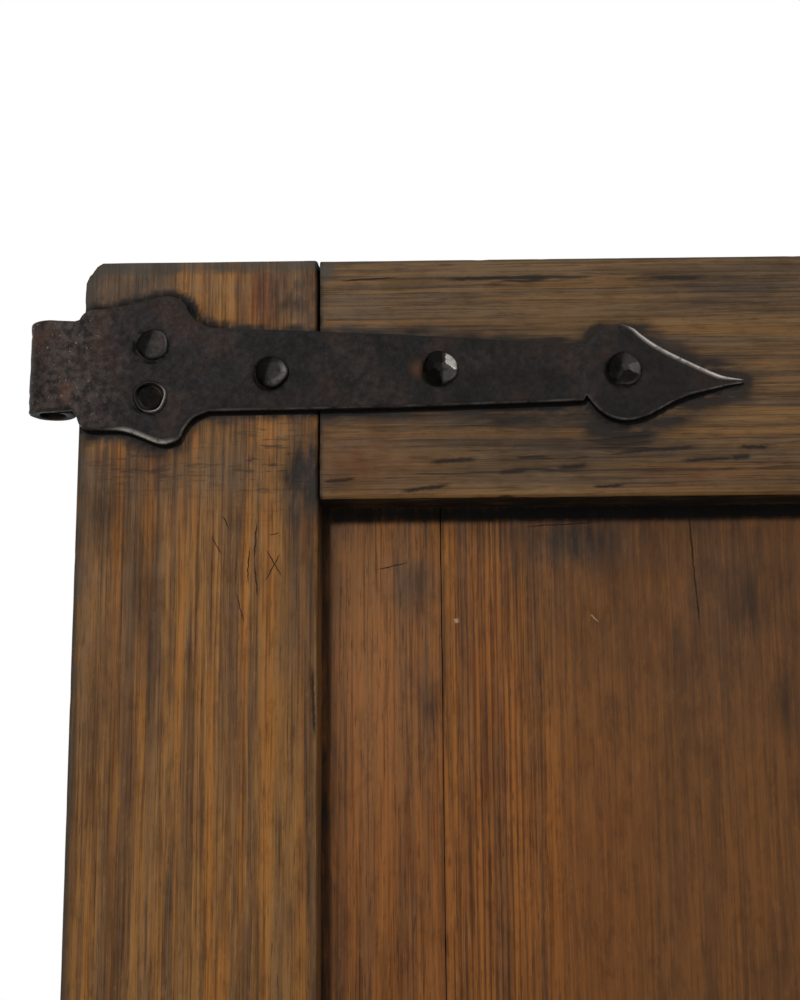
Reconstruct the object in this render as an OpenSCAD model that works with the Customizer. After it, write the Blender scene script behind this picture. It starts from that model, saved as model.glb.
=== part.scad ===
// Old two-panel door leaf with a pair of forged strap hinges and a thumb latch.
// The hinge axis is the Z axis, and z = 0 is the underside of the lower eye.
// +X runs across the leaf to the lock edge, and -Y is the face that carries the straps.

/* [Leaf] */
// Width of the leaf, without the hinge eyes
leaf_w = 815; // [700:5:1000]
// Height of the leaf
leaf_h = 1980; // [1800:10:2200]
// Thickness of the stiles and rails
frame_t = 46; // [42:1:60]
// Width of each stile
stile_w = 110; // [100:1:140]
// Height of the top rail
top_rail_h = 113; // [105:1:150]
// Height of the lock rail
lock_rail_h = 180; // [160:1:220]
// Height of the bottom rail
bottom_rail_h = 200; // [180:1:260]
// Height of the lock rail's middle above the leaf's bottom edge
lock_rail_up = 950; // [850:10:1100]
// Radius of the worn long edges
edge_r = 2; // [1:0.5:4]
// Width of the broken top corner of the hinge stile
corner_break_w = 9.5; // [4:0.5:12]
// Height of the broken top corner of the hinge stile
corner_break_h = 30; // [20:1:40]

/* [Joinery] */
// Depth of the panel groove
groove_d = 14; // [10:1:18]
// Height of the solid end above or below an outer tenon
haunch_h = 30; // [20:1:40]
// Height of the haunch between the two tenons of one rail end
mid_haunch_h = 32; // [24:1:40]
// Thickness of a wedge at the stile's outer edge
wedge_t = 7; // [4:0.5:9]
// Length of a wedge
wedge_l = 60; // [40:1:70]
// Depth at which a mortise starts to flare for its wedges
wedge_run = 72; // [71:1:90]
// Space left at each rail shoulder
shoulder_gap = 0.4; // [0.2:0.1:0.8]

/* [Panels] */
// Thickness of a panel board
panel_t = 14; // [10:1:18]
// Depth of the panel behind the strap face of the frame
panel_recess = 22; // [15:1:24]
// Space between a board's edge and the bottom of its groove
swell_gap = 2; // [1:0.5:4]
// Space between two boards
seam_gap = 0.2; // [0.1:0.1:0.6]
// Width of the narrow first board of the upper panel
upper_first_board_w = 67; // [50:1:90]

/* [Strap hinges] */
// Thickness of the strap
strap_t = 5; // [4:0.5:7]
// Diameter of the eye's bore
eye_bore = 12; // [10:1:16]
// Height of the eye
eye_h = 43; // [36:1:52]
// Bulge of the eye in front of the strap's face
eye_bulge = 0.2; // [0.1:0.1:0.6]
// Length of the eye past the strap's root at each end
eye_lip = 0.6; // [0.2:0.2:1.2]
// Space between the eye and the stile's edge
eye_gap = 2; // [1.5:0.5:4]
// Length of the lobed head
head_l = 60; // [50:1:70]
// Height of the lobed head
head_h = 69; // [60:1:76]
// Width of the strap at the head
neck_w = 39.5; // [34:0.5:44]
// Width of the strap halfway between head and spear
strap_mid_w = 34.5; // [28:0.5:40]
// Width of the strap at the spear
strap_end_w = 26.5; // [20:0.5:30]
// Length of the strap between head and spear
strap_l = 170; // [140:1:200]
// Length of the spear
spear_l = 73; // [60:1:85]
// Width of the spear
spear_w = 45; // [36:1:54]
// Width of the spear's blunt tip
tip_w = 1.6; // [1:0.2:3]
// Drop of the head's middle below the eye's middle
head_drop_h = 2.6; // [0:0.2:4]
// Drop of the spear's middle below the eye's middle
spear_drop_h = 6.1; // [0:0.2:8]
// Drop of the point below the spear's middle
tip_drop_h = 4.4; // [0:0.2:8]
// Width of the forged bevel round the strap's face
strap_bevel = 1.6; // [0.8:0.2:2.4]
// Height of the upper strap's eye middle below the leaf's top edge
upper_hinge_down = 50; // [45:1:60]
// Height of the lower strap's eye middle above the leaf's bottom edge
lower_hinge_up = 100; // [90:1:130]

/* [Nails] */
// Width of a hinge nail's square shank
shank_w = 6; // [4:0.5:7]
// Width of a hinge nail's head
nail_head_w = 17; // [13:0.5:20]
// Height of a hinge nail's head
nail_head_h = 4.5; // [3:0.5:6]
// Length of the bent-over end on the back
clench_l = 26; // [18:1:32]
// Thickness of the bent-over end
clench_t = 3; // [2:0.5:4]

/* [Thumb latch] */
// Width of the latch bar
bar_w = 22; // [18:1:28]
// Thickness of the latch bar
bar_t = 5; // [4:0.5:7]
// Distance from the lock stile's inner edge back to the bar's pivot
bar_pivot_in = 40; // [30:1:70]
// Length of the bar past the leaf's lock edge
bar_nose_l = 24; // [15:1:30]
// Diameter of the bar's pivot rivet
rivet_d = 8; // [6:0.5:10]
// Thickness of the plate under the bar's pivot
plate_t = 3; // [2:0.5:5]
// Thickness of the staple
staple_t = 3; // [2.5:0.5:4]
// Width of the staple
staple_w = 16; // [14:1:20]
// Distance from the leaf's lock edge to the staple's middle
staple_in = 24; // [18:1:30]
// Rise of the bar that the staple leaves room for
staple_rise = 16; // [15:1:22]
// Width of the thumb lever's stem
stem_w = 10; // [8:1:12]
// Thickness of the thumb lever's stem
stem_t = 6; // [5:0.5:8]
// Length of the thumb lever's tail past the latch bar
tail_l = 14; // [10:1:24]
// Radius of the thumb pad
thumb_pad_r = 14; // [11:1:18]
// Diameter of the thumb lever's pin
thumb_pin_d = 5; // [4:0.5:6]
// Thickness of the handle's end plates
cusp_t = 4; // [3:0.5:5]
// Length of each end plate
cusp_l = 72; // [60:1:84]
// Width of each end plate
cusp_w = 44; // [38:1:52]
// Diameter of the grip
grip_d = 13; // [11:0.5:16]
// Height of the grip
grip_span = 126; // [110:1:150]
// Distance that the grip stands off the leaf
grip_rise = 40; // [36:1:48]

/* [Hidden] */
$fn = 64;

// Clearances
fit_gap = 0.1;
run_gap = 0.3;
pin_gap = 0.08;
overrun = 1;

// Colours
wood_stile = [0.36, 0.22, 0.11];
wood_rail = [0.33, 0.22, 0.12];
wood_panel = [0.40, 0.22, 0.11];
wood_wedge = [0.42, 0.29, 0.16];
iron = [0.12, 0.10, 0.09];
iron_nail = [0.15, 0.13, 0.12];

// Places in the frame
eye_d = eye_bore + 2 * strap_t;
leaf_x0 = eye_d / 2 + eye_gap;
leaf_x1 = leaf_x0 + leaf_w;
front_y = strap_t + eye_bulge - eye_d / 2;
back_y = front_y + frame_t;
leaf_z0 = eye_h / 2 - lower_hinge_up;
leaf_z1 = leaf_z0 + leaf_h;
lower_hinge_z = eye_h / 2;
upper_hinge_z = leaf_z1 - upper_hinge_down;
hinge_heights = [lower_hinge_z, upper_hinge_z];

// Panel groove and tenons, which share one thickness
groove_y0 = front_y + panel_recess - fit_gap;
groove_y1 = front_y + panel_recess + panel_t + fit_gap;
tenon_y0 = groove_y0 + fit_gap;
tenon_t = panel_t;
opening_x0 = leaf_x0 + stile_w;
opening_x1 = leaf_x1 - stile_w;
panel_reach = groove_d - swell_gap;

// Each rail: bottom edge, height, groove below, groove above, tenons at each end
bottom_rail_at = [leaf_z0, bottom_rail_h, false, true, 2];
lock_rail_at = [leaf_z0 + lock_rail_up - lock_rail_h / 2, lock_rail_h, true, true, 2];
top_rail_at = [leaf_z1 - top_rail_h, top_rail_h, true, false, 1];
rails = [bottom_rail_at, lock_rail_at, top_rail_at];

// Outline of the strap hinge as shares of the lengths and half widths that it follows
head_top_shares = [
    [0.00, 0.70], [0.07, 0.82], [0.30, 0.87], [0.62, 1.00], [0.73, 0.99],
    [0.80, 0.91], [0.85, 0.76], [0.92, 0.64]
];
head_low_shares = [
    [0.00, 0.63], [0.07, 0.80], [0.36, 0.83], [0.62, 1.00], [0.73, 0.99],
    [0.79, 0.93], [0.825, 0.80], [0.89, 0.66]
];
spear_top_shares = [
    [0.02, 0.58], [0.08, 0.78], [0.15, 0.94], [0.24, 1.00], [0.32, 0.92],
    [0.37, 0.79], [0.46, 0.57], [0.60, 0.31], [0.74, 0.09], [0.87, -0.08]
];
spear_low_shares = [
    [0.02, 0.48], [0.06, 0.66], [0.10, 0.80], [0.17, 0.94], [0.27, 1.00],
    [0.39, 0.91], [0.55, 0.64], [0.66, 0.49], [0.79, 0.38], [0.90, 0.29]
];
curve_steps = 3;

// Nails of a hinge: two in the head, two along the strap, one in the spear
head_nail_shares = [[0.57, 0.33], [0.56, -0.385]];
strap_nail_shares = [[0.17, -0.08], [0.62, 0.05]];
spear_nail_share = 0.255;
spear_nail_rise_share = 0.04;
nail_turns = [10, 38, 22, 5, 30];
clench_turns = [-70, -105, 12, -84, -97];
nail_facets = 7;
nail_rim_share = 0.3;
nail_crown_share = 0.42;
clench_point_share = 0.35;

// Places of the hinge along X
head_x = leaf_x0;
neck_x = head_x + head_l;
spear_x = neck_x + strap_l;
tip_x = spear_x + spear_l;
root_h = eye_h - 2 * eye_lip;
root_end_x = eye_d / 2 - eye_lip;
plate_start_x = root_end_x - strap_t / 2;
root_bulge = eye_bulge / 2;
face_y = front_y - strap_t;
lap_cut_w = 0.4;

// Places of the latch
latch_x = leaf_x1 - stile_w / 2;
bar_pivot_x = opening_x1 - bar_pivot_in;
thumb_z = leaf_z0 + lock_rail_up;
bar_z = thumb_z + stem_t / 2 + run_gap + bar_w / 2;
bar_back_y = front_y - plate_t - run_gap;
bar_front_y = bar_back_y - bar_t;
pivot_boss_r = bar_w / 2 + plate_t;
staple_x = leaf_x1 - staple_in;
staple_foot_l = staple_w + staple_t;
thumb_pin_y = back_y + cusp_t + stem_t;
ear_t = cusp_t;
ear_x = stem_w / 2 + run_gap;
ear_r = stem_t;
pad_neck_l = 6;
slot_side_gap = 1;
lever_turn = 7;
slot_rise = (thumb_pin_y - front_y) * sin(lever_turn) + slot_side_gap;
rivet_l = 17;
rivet_head_w = rivet_d + bar_w / 3;
nose_cut_share = 0.33;
knob_x_share = 0.3;
knob_l = 22;
knob_r = 9;
knob_neck_r = 5;
knob_foot_r = 7;
knob_foot_h = 3;
knob_neck_h = 7;
knob_angles = [-50:20:70];
small_head_w = 11;
small_head_h = 3;
small_shank_w = 4;
small_nail_l = 17;
plate_nail_in = 22;
cusp_shares = [
    [0.00, 0.42], [0.10, 0.78], [0.26, 1.00], [0.45, 0.86], [0.62, 0.46], [0.80, 0.20], [1.00, 0.05]
];
cusp_nail_shares = [[-0.55, 0.47], [0.55, 0.47], [0.00, 0.70]];
grip_r = (grip_span * grip_span / 4 + grip_rise * grip_rise) / (2 * grip_rise);
grip_angle = 2 * asin(grip_span / (2 * grip_r));
grip_end_turn = 7;
lever_rise_share = 0.26;
grip_top_z = thumb_z - cusp_l * lever_rise_share;
handle_low_z = grip_top_z - grip_span;
arc_steps = 4;
corner_break_shares = [
    [0.00, 1.00], [0.15, 0.78], [0.17, 0.34], [0.35, 0.21], [0.46, 0.18], [0.68, 0.06], [1.00, 0.00]
];

// Helpers

function unit(v) = v / norm(v);

// The outline with each corner [x, y, radius] rounded; the corners are square ones
function corner_points(before, here, after) =
    let (
        p = [here.x, here.y],
        u = unit([before.x, before.y] - p),
        v = unit([after.x, after.y] - p),
        r = here[2]
    )
    r == 0 ? [p] : [
        for (k = [0:arc_steps])
            let (a = 90 * k / arc_steps)
            p + r * (u + v) - r * (v * cos(a) + u * sin(a))
    ];
function rounded(outline) =
    let (n = len(outline))
    [
        for (i = [0:n - 1])
            each corner_points(outline[(i + n - 1) % n], outline[i], outline[(i + 1) % n])
    ];

// A smooth curve through a list of points
function curve_point(p, i, t) =
    let (
        a = p[max(i - 1, 0)],
        b = p[i],
        c = p[i + 1],
        d = p[min(i + 2, len(p) - 1)]
    )
    b + (c - a) * t / 2
        + (2 * a - 5 * b + 4 * c - d) * t * t / 2
        + (3 * b - a - 3 * c + d) * t * t * t / 2;
function smooth(p) =
    [
        for (i = [0:len(p) - 2], k = [0:curve_steps - 1]) curve_point(p, i, k / curve_steps),
        p[len(p) - 1]
    ];
function reversed(p) = [for (i = [len(p) - 1:-1:0]) p[i]];

module along_x(x0, x1) {
    translate([x0, 0, 0]) rotate([90, 0, 90]) linear_extrude(x1 - x0) children();
}

module along_y(y0, y1) {
    translate([0, y1, 0]) rotate([90, 0, 0]) linear_extrude(y1 - y0) children();
}

module at_each_hinge() {
    for (z = hinge_heights) translate([0, 0, z]) children();
}

module square_bar(w, y0, y1) {
    translate([-w / 2, y0, -w / 2]) cube([w, y1 - y0, w]);
}

// Stiles and rails

// The tenons of a rail, as pairs of lower and upper edge
function tenon_spans(rail) =
    let (
        low = rail[0] + (rail[2] ? groove_d : haunch_h),
        high = rail[0] + rail[1] - (rail[3] ? groove_d : haunch_h),
        count = rail[4],
        tall = (high - low - (count - 1) * mid_haunch_h) / count
    )
    [for (i = [0:count - 1]) let (z = low + i * (tall + mid_haunch_h)) [z, z + tall]];

function flare(x) = fit_gap + max(0, wedge_t * (1 - x / wedge_run));

// Cross section of a stile, with its outer edge at x = 0
module stile_section() {
    polygon(rounded([
        [0, front_y, edge_r],
        [stile_w, front_y, edge_r],
        [stile_w, groove_y0, 0],
        [stile_w - groove_d, groove_y0, 0],
        [stile_w - groove_d, groove_y1, 0],
        [stile_w, groove_y1, 0],
        [stile_w, back_y, edge_r],
        [0, back_y, edge_r]
    ]));
}

// A mortise through a stile, flared at the outer edge for its wedges
module mortise(span) {
    depths = [-overrun, wedge_run, stile_w + overrun];
    along_y(groove_y0, groove_y1) polygon([
        for (x = depths) [x, span[0] - flare(x)],
        for (x = reversed(depths)) [x, span[1] + flare(x)]
    ]);
}

module plain_stile() {
    difference() {
        translate([0, 0, leaf_z0]) linear_extrude(leaf_h) stile_section();
        for (rail = rails, span = tenon_spans(rail)) mortise(span);
    }
}

module broken_corner() {
    along_y(front_y - overrun, back_y + overrun) polygon([
        [-overrun, -corner_break_h],
        for (s = corner_break_shares) [corner_break_w * s[0], -corner_break_h * s[1]],
        [corner_break_w, overrun],
        [-overrun, overrun]
    ]);
}

module hinge_stile() {
    color(wood_stile) difference() {
        translate([leaf_x0, 0, 0]) plain_stile();
        translate([leaf_x0, 0, leaf_z1]) broken_corner();
        hinge_nail_holes();
    }
}

module lock_stile() {
    color(wood_stile) difference() {
        translate([leaf_x1, 0, 0]) mirror([1, 0, 0]) plain_stile();
        lever_slot();
        latch_nail_holes();
    }
}

// Cross section of a rail in Y and Z, with its bottom edge at z = 0
module rail_section(rail) {
    h = rail[1];
    low_groove = [[groove_y0, 0, 0], [groove_y0, groove_d, 0], [groove_y1, groove_d, 0], [groove_y1, 0, 0]];
    high_groove = [for (p = reversed(low_groove)) [p[0], h - p[1], 0]];
    polygon(rounded([
        [front_y, 0, edge_r],
        if (rail[2]) each low_groove,
        [back_y, 0, edge_r],
        [back_y, h, edge_r],
        if (rail[3]) each high_groove,
        [front_y, h, edge_r]
    ]));
}

module rail_piece(rail) {
    low = rail[0] + (rail[2] ? groove_d : 0);
    high = rail[0] + rail[1] - (rail[3] ? groove_d : 0);
    haunch_x0 = opening_x0 - groove_d + fit_gap;
    haunch_x1 = opening_x1 + groove_d - fit_gap;
    color(wood_rail) difference() {
        union() {
            translate([0, 0, rail[0]])
                along_x(opening_x0 + shoulder_gap, opening_x1 - shoulder_gap) rail_section(rail);
            translate([haunch_x0, tenon_y0, low]) cube([haunch_x1 - haunch_x0, tenon_t, high - low]);
            for (span = tenon_spans(rail))
                translate([leaf_x0, tenon_y0, span[0]]) cube([leaf_w, tenon_t, span[1] - span[0]]);
        }
        hinge_nail_holes();
        latch_nail_holes();
        lever_slot();
        bar_rivet_hole();
    }
}

// The wedges of one rail: one above and one below each tenon end
module wedge_outline() {
    polygon([
        [0, 0],
        [wedge_l, 0],
        [wedge_l, wedge_t * (1 - wedge_l / wedge_run)],
        [0, wedge_t]
    ]);
}

module rail_wedges(rail) {
    color(wood_wedge) difference() {
        for (side = [0, 1], span = tenon_spans(rail)) {
            translate([leaf_x0 + side * leaf_w, 0, 0]) mirror([side, 0, 0])
                along_y(tenon_y0, tenon_y0 + tenon_t) {
                    translate([0, span[1]]) wedge_outline();
                    translate([0, span[0]]) mirror([0, 1]) wedge_outline();
                }
        }
        hinge_nail_holes();
        latch_nail_holes();
    }
}

// Panel boards

module board(x0, x1, low_rail, high_rail) {
    z0 = low_rail[0] + low_rail[1] - panel_reach;
    z1 = high_rail[0] + panel_reach;
    color(wood_panel)
        translate([x0, tenon_y0, z0]) cube([x1 - x0, panel_t, z1 - z0]);
}

// Left edges of the boards of a panel, and the right edge of the last one
panel_x0 = opening_x0 - panel_reach;
panel_x1 = opening_x1 + panel_reach;
upper_middle_x = (panel_x0 + upper_first_board_w + panel_x1) / 2;
upper_seams = [panel_x0, panel_x0 + upper_first_board_w, upper_middle_x, panel_x1];
lower_board_count = 3;
lower_seams = [
    for (i = [0:lower_board_count]) panel_x0 + (panel_x1 - panel_x0) * i / lower_board_count
];

module upper_board(i) {
    last = i == len(upper_seams) - 2;
    board(upper_seams[i], upper_seams[i + 1] - (last ? 0 : seam_gap), lock_rail_at, top_rail_at);
}

module lower_board(i) {
    last = i == len(lower_seams) - 2;
    board(lower_seams[i], lower_seams[i + 1] - (last ? 0 : seam_gap), bottom_rail_at, lock_rail_at);
}

// Strap hinges

function head_point(share, side) =
    [head_x + head_l * share[0], side * head_h / 2 * share[1] - head_drop_h];
function spear_point(share, side) =
    [spear_x + spear_l * share[0], side * spear_w / 2 * share[1] - spear_drop_h];
function strap_middle(side) =
    [neck_x + strap_l / 2, side * strap_mid_w / 2 - (head_drop_h + spear_drop_h) / 2];

function upper_edge() = concat(
    [[plate_start_x, root_h / 2], [eye_d / 2, root_h / 2]],
    smooth([for (s = head_top_shares) head_point(s, 1), [neck_x, neck_w / 2 - head_drop_h]]),
    [strap_middle(1), [spear_x, strap_end_w / 2 - spear_drop_h]],
    smooth([for (s = spear_top_shares) spear_point(s, 1), [tip_x, tip_w / 2 - spear_drop_h - tip_drop_h]])
);
function lower_edge() = concat(
    [[plate_start_x, -root_h / 2], [eye_d / 2, -root_h / 2]],
    smooth([for (s = head_low_shares) head_point(s, -1), [neck_x, -neck_w / 2 - head_drop_h]]),
    [strap_middle(-1), [spear_x, -strap_end_w / 2 - spear_drop_h]],
    smooth([for (s = spear_low_shares) spear_point(s, -1), [tip_x, -tip_w / 2 - spear_drop_h - tip_drop_h]])
);
strap_outline = concat(upper_edge(), reversed(lower_edge()));

// The outline moved inwards, square to the line between each point's neighbours
function inset(p, d) =
    let (n = len(p))
    [
        for (i = [0:n - 1])
            let (along = unit(p[(i + 1) % n] - p[(i + n - 1) % n]))
            p[i] + d * [along.y, -along.x]
    ];

// A solid through rings of equal length, each ring a flat outline at its own depth.
// A ring runs out along one edge and back along the other, so its ends are filled by cross strips.
module loft(rings, depths) {
    n = len(rings[0]);
    m = len(rings);
    last = (m - 1) * n;
    points = [for (k = [0:m - 1], p = rings[k]) [p.x, depths[k], p.y]];
    sides = [for (k = [0:m - 2], i = [0:n - 1]) let (j = (i + 1) % n)
        [k * n + i, (k + 1) * n + i, (k + 1) * n + j, k * n + j]];
    strips = [for (i = [0:n / 2 - 2]) [i, i + 1, n - 2 - i, n - 1 - i]];
    polyhedron(points, concat(
        strips,
        sides,
        [for (strip = strips) [for (i = reversed(strip)) last + i]]
    ));
}

module strap_body() {
    loft(
        [inset(strap_outline, strap_bevel), strap_outline, strap_outline],
        [face_y, face_y + strap_bevel, front_y]
    );
}

// Centres of a hinge's nails, in X and Z from the eye's middle
function nail_places() = concat(
    [for (s = head_nail_shares) head_point(s, 1)],
    [
        for (s = strap_nail_shares)
            [
                neck_x + strap_l * s[0],
                neck_w / 2 * s[1] - head_drop_h - (spear_drop_h - head_drop_h) * s[0]
            ]
    ],
    [spear_point([spear_nail_share, spear_nail_rise_share], 1)]
);

// Cross section of the rolled eye, with the seam where its end lies on the strap's back
module eye_section() {
    difference() {
        union() {
            circle(d = eye_d);
            translate([0, face_y - root_bulge]) square([root_end_x, strap_t + 2 * root_bulge]);
        }
        circle(d = eye_bore);
        translate([0, front_y + root_bulge]) square([eye_d, lap_cut_w]);
    }
}

module strap_hinge(z) {
    color(iron) translate([0, 0, z]) difference() {
        union() {
            strap_body();
            translate([0, 0, -eye_h / 2]) linear_extrude(eye_h) eye_section();
        }
        strap_nail_holes();
    }
}

// Nails

module rose_head(w, h, turn) {
    rim_h = h * nail_rim_share;
    rotate([90, 0, 0]) rotate([0, 0, turn]) {
        cylinder(h = rim_h, d = w, $fn = nail_facets);
        translate([0, 0, rim_h])
            cylinder(h = h - rim_h, d1 = w, d2 = w * nail_crown_share, $fn = nail_facets);
    }
}

// A wrought nail from the strap's face at y = 0, its point bent over on the back of the wood
module hinge_nail(turn, clench_turn) {
    depth = strap_t + frame_t;
    rose_head(nail_head_w, nail_head_h, turn);
    square_bar(shank_w, 0, depth + clench_t / 2);
    rotate([0, clench_turn, 0]) along_x(-shank_w / 2, shank_w / 2) polygon([
        [depth, shank_w / 2],
        [depth + clench_t, shank_w / 2 - clench_t],
        [depth + clench_t, -clench_l * (1 - clench_point_share)],
        [depth, -clench_l]
    ]);
}

module hinge_nails(z) {
    places = nail_places();
    color(iron_nail) for (i = [0:len(places) - 1])
        translate([places[i].x, face_y, z + places[i].y])
            hinge_nail(nail_turns[i], clench_turns[i]);
}

module strap_nail_holes() {
    for (p = nail_places()) translate([p.x, 0, p.y])
        square_bar(shank_w + 2 * fit_gap, face_y - overrun, back_y + overrun);
}

module hinge_nail_holes() {
    at_each_hinge() strap_nail_holes();
}

// A small nail driven towards +Y from y = 0
module small_nail() {
    rose_head(small_head_w, small_head_h, nail_turns[1]);
    square_bar(small_shank_w, 0, small_nail_l);
}

// Thumb latch

// Middles of the nails on the strap face, in X and Z, with the depth of the face under the head
plate_nail_places = [for (side = [-1, 1]) [bar_pivot_x - plate_nail_in, bar_z + side * pivot_boss_r / 2]];
staple_low_z = bar_z - bar_w / 2 - run_gap;
staple_high_z = bar_z + bar_w / 2 + staple_rise;
staple_nail_places = [
    [staple_x, staple_low_z - staple_t - staple_foot_l / 2],
    [staple_x, staple_high_z + staple_t + staple_foot_l / 2]
];

module place_latch_nails() {
    for (p = plate_nail_places) translate([p.x, front_y - plate_t, p.y]) children();
    for (p = staple_nail_places) translate([p.x, front_y - staple_t, p.y]) children();
}

// Middles of the handle's nails, in X and Z: three in each end plate
handle_nail_places = [
    for (s = cusp_nail_shares) each [
        [latch_x + cusp_w / 2 * s[0], grip_top_z + cusp_l * s[1]],
        [latch_x + cusp_w / 2 * s[0], handle_low_z - cusp_l * s[1]]
    ]
];

module place_handle_nails() {
    for (p = handle_nail_places)
        translate([p.x, back_y + cusp_t, p.y]) rotate([0, 0, 180]) children();
}

module small_nail_hole() {
    square_bar(small_shank_w + 2 * fit_gap, -overrun, small_nail_l + fit_gap);
}

module latch_nail_holes() {
    place_latch_nails() small_nail_hole();
    place_handle_nails() small_nail_hole();
}

// The slot that the thumb lever passes through
module lever_slot() {
    w = stem_w + 2 * slot_side_gap;
    translate([latch_x - w / 2, front_y - overrun, thumb_z - stem_t / 2 - slot_side_gap])
        cube([w, frame_t + cusp_t + 2 * overrun, stem_t + slot_side_gap + slot_rise]);
}

module bar_rivet_hole() {
    depth = plate_t + rivet_l + fit_gap + overrun;
    translate([bar_pivot_x, front_y + rivet_l + fit_gap, bar_z]) rotate([90, 0, 0])
        cylinder(h = depth, d = rivet_d + 2 * fit_gap);
}

module latch_bar() {
    nose_x = leaf_x1 + bar_nose_l;
    nose_cut = bar_w * nose_cut_share;
    color(iron) difference() {
        union() {
            along_y(bar_front_y, bar_back_y) polygon([
                [bar_pivot_x, bar_z - bar_w / 2],
                [nose_x - nose_cut, bar_z - bar_w / 2],
                [nose_x, bar_z - bar_w / 2 + nose_cut],
                [nose_x, bar_z + bar_w / 2],
                [bar_pivot_x, bar_z + bar_w / 2]
            ]);
            translate([bar_pivot_x, bar_back_y, bar_z]) rotate([90, 0, 0])
                cylinder(h = bar_t, r = bar_w / 2);
        }
        translate([bar_pivot_x, bar_back_y + overrun, bar_z]) rotate([90, 0, 0])
            cylinder(h = bar_t + 2 * overrun, d = rivet_d + 2 * pin_gap);
        translate([knob_x(), bar_back_y + overrun, bar_z]) rotate([90, 0, 0])
            cylinder(h = bar_t + 2 * overrun, r = knob_neck_r + fit_gap);
    }
}

function knob_x() = bar_pivot_x + (leaf_x1 - bar_pivot_x) * knob_x_share;

// A turned knob riveted through the bar
module latch_bar_knob() {
    color(iron_nail) translate([knob_x(), bar_back_y, bar_z]) rotate([90, 0, 0]) {
        cylinder(h = bar_t, r = knob_neck_r);
        translate([0, 0, bar_t]) rotate_extrude() polygon(concat(
            [[0, 0], [knob_foot_r, 0], [knob_neck_r, knob_foot_h], [knob_neck_r, knob_neck_h]],
            [for (a = knob_angles) [knob_r * cos(a), knob_l - knob_r + knob_r * sin(a)]],
            [[0, knob_l]]
        ));
    }
}

module latch_bar_plate() {
    tail_x = bar_pivot_x - plate_nail_in - small_head_w;
    color(iron) difference() {
        union() {
            translate([bar_pivot_x, front_y, bar_z]) rotate([90, 0, 0])
                cylinder(h = plate_t, r = pivot_boss_r);
            translate([tail_x, front_y - plate_t, bar_z - pivot_boss_r])
                cube([bar_pivot_x - tail_x, plate_t, 2 * pivot_boss_r]);
        }
        place_latch_nails() small_nail_hole();
        bar_rivet_hole();
    }
}

module latch_bar_rivet() {
    head_y = bar_front_y - run_gap;
    point_y = front_y + rivet_l;
    color(iron_nail) translate([bar_pivot_x, 0, bar_z]) {
        translate([0, head_y, 0]) rose_head(rivet_head_w, nail_head_h, nail_turns[3]);
        translate([0, point_y, 0]) rotate([90, 0, 0]) cylinder(h = point_y - head_y, d = rivet_d);
    }
}

// A hat-shaped strap over the bar, nailed above and below it
module latch_staple() {
    bridge_y = bar_front_y - run_gap - staple_t;
    color(iron) difference() {
        along_x(staple_x - staple_w / 2, staple_x + staple_w / 2) polygon([
            [front_y, staple_low_z - staple_t - staple_foot_l],
            [front_y, staple_low_z],
            [bridge_y + staple_t, staple_low_z],
            [bridge_y + staple_t, staple_high_z],
            [front_y, staple_high_z],
            [front_y, staple_high_z + staple_t + staple_foot_l],
            [front_y - staple_t, staple_high_z + staple_t + staple_foot_l],
            [front_y - staple_t, staple_high_z + staple_t],
            [bridge_y, staple_high_z + staple_t],
            [bridge_y, staple_low_z - staple_t],
            [front_y - staple_t, staple_low_z - staple_t],
            [front_y - staple_t, staple_low_z - staple_t - staple_foot_l]
        ]);
        place_latch_nails() small_nail_hole();
    }
}

module latch_nails() {
    color(iron_nail) place_latch_nails() small_nail();
}

module thumb_lever() {
    tail_y = bar_front_y - tail_l;
    pad_y = thumb_pin_y + ear_r + pad_neck_l + thumb_pad_r;
    color(iron) difference() {
        union() {
            translate([latch_x - stem_w / 2, 0, 0]) along_x(0, stem_w) polygon([
                [tail_y, thumb_z - stem_t],
                [tail_y + stem_t / 2, thumb_z + stem_t / 2],
                [pad_y, thumb_z + stem_t / 2],
                [pad_y, thumb_z],
                [thumb_pin_y + ear_r, thumb_z - stem_t / 2],
                [tail_y + stem_t, thumb_z - stem_t / 2]
            ]);
            translate([latch_x, pad_y, thumb_z]) cylinder(h = stem_t / 2, r = thumb_pad_r);
        }
        thumb_pin_bore(pin_gap);
    }
}

module thumb_pin_bore(gap) {
    reach = ear_x + ear_t + overrun;
    translate([latch_x - reach, thumb_pin_y, thumb_z]) rotate([0, 90, 0])
        cylinder(h = 2 * reach, d = thumb_pin_d + 2 * gap);
}

module thumb_lever_pin() {
    reach = ear_x + ear_t;
    color(iron_nail) translate([latch_x - reach, thumb_pin_y, thumb_z]) rotate([0, 90, 0])
        cylinder(h = 2 * reach, d = thumb_pin_d);
}

// Outline of an end plate, its wide end at 0 and its point along +Z
module cusp_outline() {
    side = smooth([for (s = cusp_shares) [cusp_w / 2 * s[1], cusp_l * s[0]]]);
    polygon(concat(side, [for (p = reversed(side)) [-p.x, p.y]]));
}

module lever_ears() {
    for (side = [-1, 1])
        translate([latch_x + side * (ear_x + ear_t / 2) - ear_t / 2, 0, 0]) {
            translate([0, thumb_pin_y, thumb_z]) rotate([0, 90, 0]) cylinder(h = ear_t, r = ear_r);
            translate([0, back_y, thumb_z - ear_r]) cube([ear_t, thumb_pin_y - back_y, 2 * ear_r]);
        }
}

module grip() {
    difference() {
        translate([latch_x, back_y + grip_rise - grip_r, grip_top_z - grip_span / 2])
            rotate([90, 0, 90]) rotate([0, 0, -grip_angle / 2 - grip_end_turn])
                rotate_extrude(angle = grip_angle + 2 * grip_end_turn)
                    translate([grip_r, 0]) circle(d = grip_d);
        translate([latch_x - grip_d, back_y - 2 * grip_rise, grip_top_z - 2 * grip_span])
            cube([2 * grip_d, 2 * grip_rise, 3 * grip_span]);
    }
}

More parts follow.
